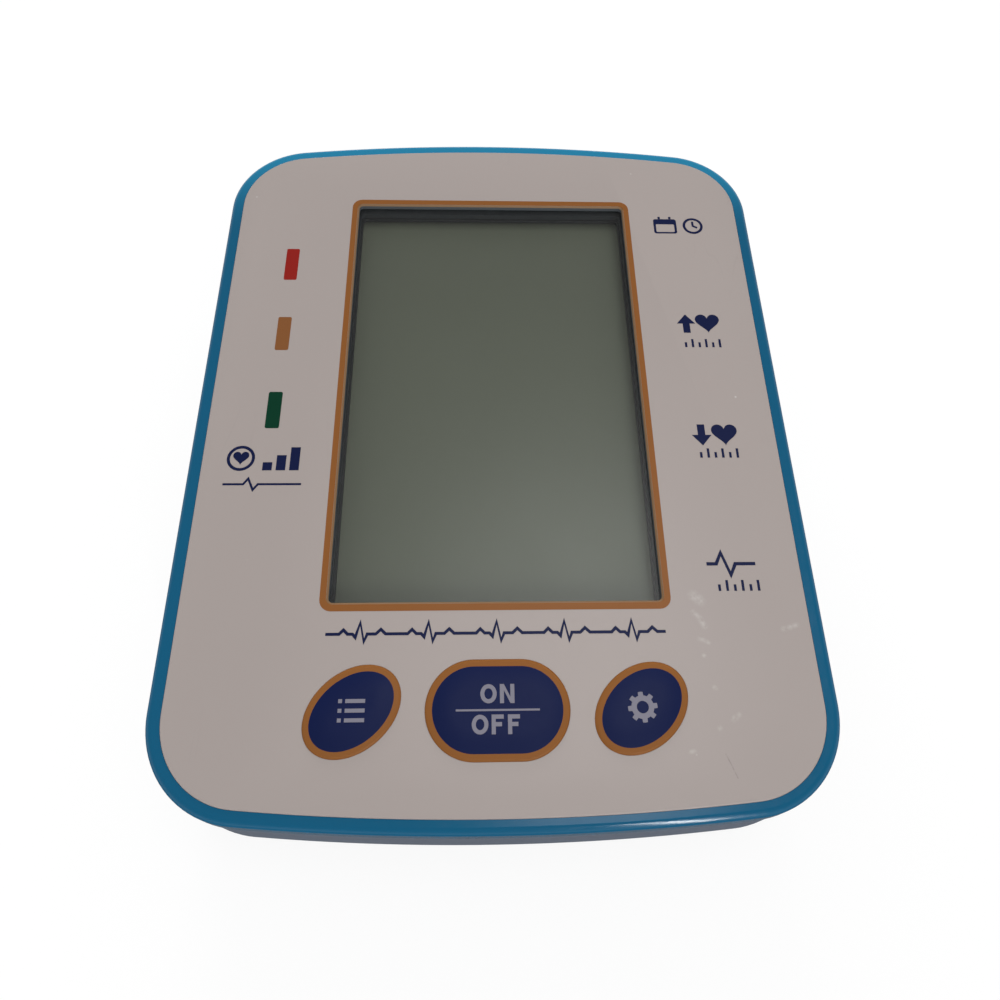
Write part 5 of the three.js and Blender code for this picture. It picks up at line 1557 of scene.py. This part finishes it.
foot_rubber = moulded_plastic("foot_rubber", srgb(48, 49, 52), 0.85, grain_scale=3200, grain_depth=0.6,
                              drift=0.2, dust=0.12, lines=0.2)
for i, (side_x, side_y) in enumerate(four_corners):
    place = Matrix.Translation((side_x * foot_x, side_y * foot_y, 0))
    add_piece(f"foot_{i + 1}_pad", solid(foot(), place), foot_rubber, "casing",
              [f"foot_{i + 1}"])
    screw = cross_screw(screw_radius, screw_length, head_radius=2.7, head_height=1.8, pitch=1.0)
    screw.transform(Matrix.Translation(Vector((side_x * boss_x, side_y * boss_y, screw_seat - fit)) * MM))
    add_piece(f"casing_screw_{i + 1}_turned", screw, zinc_steel, "casing",
              [f"casing_screw_{i + 1}"])

# Air pump
# A nylon head with its outlet nozzle on the end of a small motor in a drawn can. A foam sleeve round the
# motor lies in the saddles and keeps its hum from the casing.
can_edge, can_round, motor_boss_radius = 0.3, 1, 3


def motor_can():
    """The can with a groove round its crimped end and the bearing's boss at the other."""
    end = motor_length + motor_boss
    profile = [(0.5, 0), (motor_radius - can_edge, 0), (motor_radius, can_edge)]
    profile += [(motor_radius, 1.6), (motor_radius - 0.15, 1.9), (motor_radius, 2.2)]
    profile += arc(motor_radius - can_round, motor_length - can_round, can_round, 0, 90, 6)
    profile += [(motor_boss_radius + 0.4, motor_length), (motor_boss_radius, motor_length + 0.2)]
    profile += [(motor_boss_radius, end - can_edge), (motor_boss_radius - can_edge, end), (0.5, end)]
    return turned(profile, 72)


drawn_can = bright_metal("motor_can", srgb(186, 188, 190), 0.28, (1, 0.05, 1))
keep_node("pump_head", cream_plastic, 0.3)
motor_place = along_y(pump_x, motor_near, pump_height)
add_piece("pump_motor_can", solid(motor_can(), motor_place), drawn_can, "casing", ["pump_motor"])
half_sleeve, soft_edge = sleeve_length / 2, 0.3
wrap = [
    (motor_radius + fit, -half_sleeve),
    (sleeve_radius - soft_edge, -half_sleeve),
    (sleeve_radius, soft_edge - half_sleeve),
    (sleeve_radius, half_sleeve - soft_edge),
    (sleeve_radius - soft_edge, half_sleeve),
    (motor_radius + fit, half_sleeve),
]
wrap_place = along_y(pump_x, motor_near + motor_length / 2, pump_height)
wrap_piece = add_piece("pump_sleeve_foam", solid(turned_pipe(wrap, 72), wrap_place), grey_foam, "casing",
                       ["pump_sleeve"])

# Release valve and manifold
# The valve is a coil of enamelled copper wire between the ends of a bent steel yoke. The manifold is a
# nylon block with four nozzles, which joins pump, socket, valve and sensor.
manifold_x, manifold_y = 5 - board_width / 2, bay_near - 9.6
manifold_half = 3.2
valve_bottom = floor_top + fit
air_level = valve_bottom + manifold_half
valve_length, valve_width, valve_tall, yoke = 18, 12, 11, 1.2
valve_x = bay_x - scoop_radius - bay_wall - 1 - valve_length / 2
nozzle_radius, nozzle_length, nozzle_passage = 1.2, 3.6, 0.6
barb_length, barb_height = 0.9, 0.15
coil_bore, coil_flange, coil_low, coil_high, cheek = 1.5, 4.7, 4.15, 4.4, 0.5
windings = 30


def nozzle(place):
    """A short pipe with a barb at its tip, rooted a little in what carries it."""
    barb = [
        (nozzle_passage, -fit),
        (nozzle_radius, -fit),
        (nozzle_radius, nozzle_length - barb_length),
        (nozzle_radius + barb_height, nozzle_length - barb_length),
        (nozzle_radius - barb_height, nozzle_length),
        (nozzle_passage, nozzle_length),
    ]
    return solid(turned_pipe(barb, 28), place)


valve_left, valve_right = valve_x - valve_length / 2, valve_x + valve_length / 2
front, back = manifold_y - valve_width / 2, manifold_y + valve_width / 2
yoke_mesh = worked(
    solid(block(valve_left, valve_right, front, back, valve_bottom, valve_bottom + yoke)),
    joins=[
        solid(block(valve_left, valve_left + yoke, front, back, valve_bottom, valve_bottom + valve_tall)),
        solid(block(valve_right - yoke, valve_right, front, back, valve_bottom, valve_bottom + valve_tall)),
        nozzle(along_x(valve_left, manifold_y, air_level, -1)),
    ],
)
add_piece("release_valve_yoke", yoke_mesh, zinc_steel, "casing", ["release_valve"])
coil_length = valve_length - 2 * yoke
coil = [(coil_bore, 0), (coil_flange, 0), (coil_flange, cheek), (coil_low, cheek)]
winding_pitch = (coil_length - 2 * cheek) / windings
for i in range(windings):
    start = cheek + winding_pitch * i
    coil += [(coil_low, start + 0.03), (coil_high, start + winding_pitch / 2)]
coil += [(coil_low, coil_length - cheek), (coil_flange, coil_length - cheek)]
coil += [(coil_flange, coil_length), (coil_bore, coil_length)]
coil_place = along_x(valve_left + yoke, manifold_y, valve_bottom + valve_tall / 2)
copper_winding = bright_metal("copper_winding", srgb(176, 98, 58), 0.3)
add_piece("release_valve_coil", solid(turned(coil, 48), coil_place), copper_winding, "casing")
keep_node("air_manifold", cream_plastic, 0.2)

# Cuff socket
# A black moulded barrel with a round flange, let into the left side. The plug of the cuff's hose goes
# into its bore, and a nozzle inside takes the hose to the manifold.
socket_edge, socket_chamfer = 0.4, 0.2
plug_radius, plug_depth, socket_passage = 4, 11, 0.8


def cuff_socket():
    profile = arc(plug_radius + socket_edge, socket_edge, socket_edge, 180, 270, 5)
    profile += arc(flange_radius - socket_edge, socket_edge, socket_edge, -90, 0, 5)
    profile += [(flange_radius, flange_thickness), (socket_radius, flange_thickness)]
    profile += [(socket_radius, socket_length - socket_chamfer)]
    profile += [(socket_radius - socket_chamfer, socket_length), (socket_passage, socket_length)]
    profile += [(socket_passage, plug_depth), (plug_radius, plug_depth)]
    barrel = solid(turned_pipe(profile, 72), along_x(-outer_side, socket_y, socket_height))
    return worked(barrel, joins=[nozzle(along_x(socket_length - outer_side, socket_y, socket_height))])


add_piece("cuff_socket_barrel", cuff_socket(), black_plastic, "casing", ["cuff_socket"])

# Adapter jack
# A black box with a round bore and a plated centre pin, on a shelf behind the hole in the right side.
keep_node("adapter_jack", black_plastic, 0.15)
keep_node("adapter_jack_pin", contact_nickel, 0.05)

# Hoses
# Milky silicone tubes pushed over the nozzles. Two curve from the pump and the socket to the manifold,
# and two short ones join the manifold to the valve and the sensor.
hose_radius, hose_bore, hose_bend, bend_steps = 2.6, 1.55, 5, 32


def silicone_material():
    made, tree, shader = new_material("silicone")
    cloud = noise(tree, object_coords(tree), 260, 4)
    feed(shader, {
        "Base Color": mixed_colour(tree, cloud, srgb(214, 220, 222), srgb(190, 198, 202)),
        "Roughness": ramp(tree, cloud, 0, 1, 0.3, 0.5),
        "Subsurface Weight": 0.2,
        "Subsurface Radius": (0.002, 0.002, 0.002),
    })
    return made


silicone = silicone_material()
up, right, far, near = [Vector(way) for way in ((0, 0, 1), (1, 0, 0), (0, 1, 0), (0, -1, 0))]
manifold_middle = Vector((manifold_x, manifold_y, air_level))
pump_outlet = Vector((pump_x + pump_half - pump_nozzle_inset, pump_near, air_level))
socket_outlet = Vector((socket_length - outer_side, socket_y, socket_height))
valve_inlet = Vector((valve_left, manifold_y, air_level))
sensor_height = 3.2
sensor_y = manifold_y * cos(tilt) + (air_level + 2 * manifold_half - mid_height) * sin(tilt)
sensor_inlet = on_face @ Vector((manifold_x, sensor_y, -(board_bottom + fit + sensor_height)))


def bent_hose(start, leaving, stop, arriving):
    first, last = start + leaving * fit, stop + arriving * fit
    turn_out, turn_in = first + leaving * nozzle_length, last + arriving * nozzle_length
    a, b = turn_out + leaving * hose_bend, turn_in + arriving * hose_bend
    path = [first]
    for i in range(bend_steps + 1):
        t = i / bend_steps
        s = 1 - t
        path.append(s ** 3 * turn_out + 3 * s ** 2 * t * a + 3 * s * t ** 2 * b + t ** 3 * turn_in)
    return swept([*path, last], hose_radius, 32, hose_bore)


def straight_hose(start, stop):
    along = (stop - start).normalized()
    return swept([start + along * fit, stop - along * fit], hose_radius, 32, hose_bore)


for name, shape in [
    ("pump_hose", bent_hose(pump_outlet, near, manifold_middle + far * manifold_half, far)),
    ("socket_hose", bent_hose(socket_outlet, right, manifold_middle + near * manifold_half, near)),
    ("valve_hose", straight_hose(manifold_middle + right * manifold_half, valve_inlet)),
    ("sensor_hose", straight_hose(manifold_middle + up * manifold_half, sensor_inlet)),
]:
    add_piece(f"{name}_tube", solid(shape), silicone, "casing", [name])
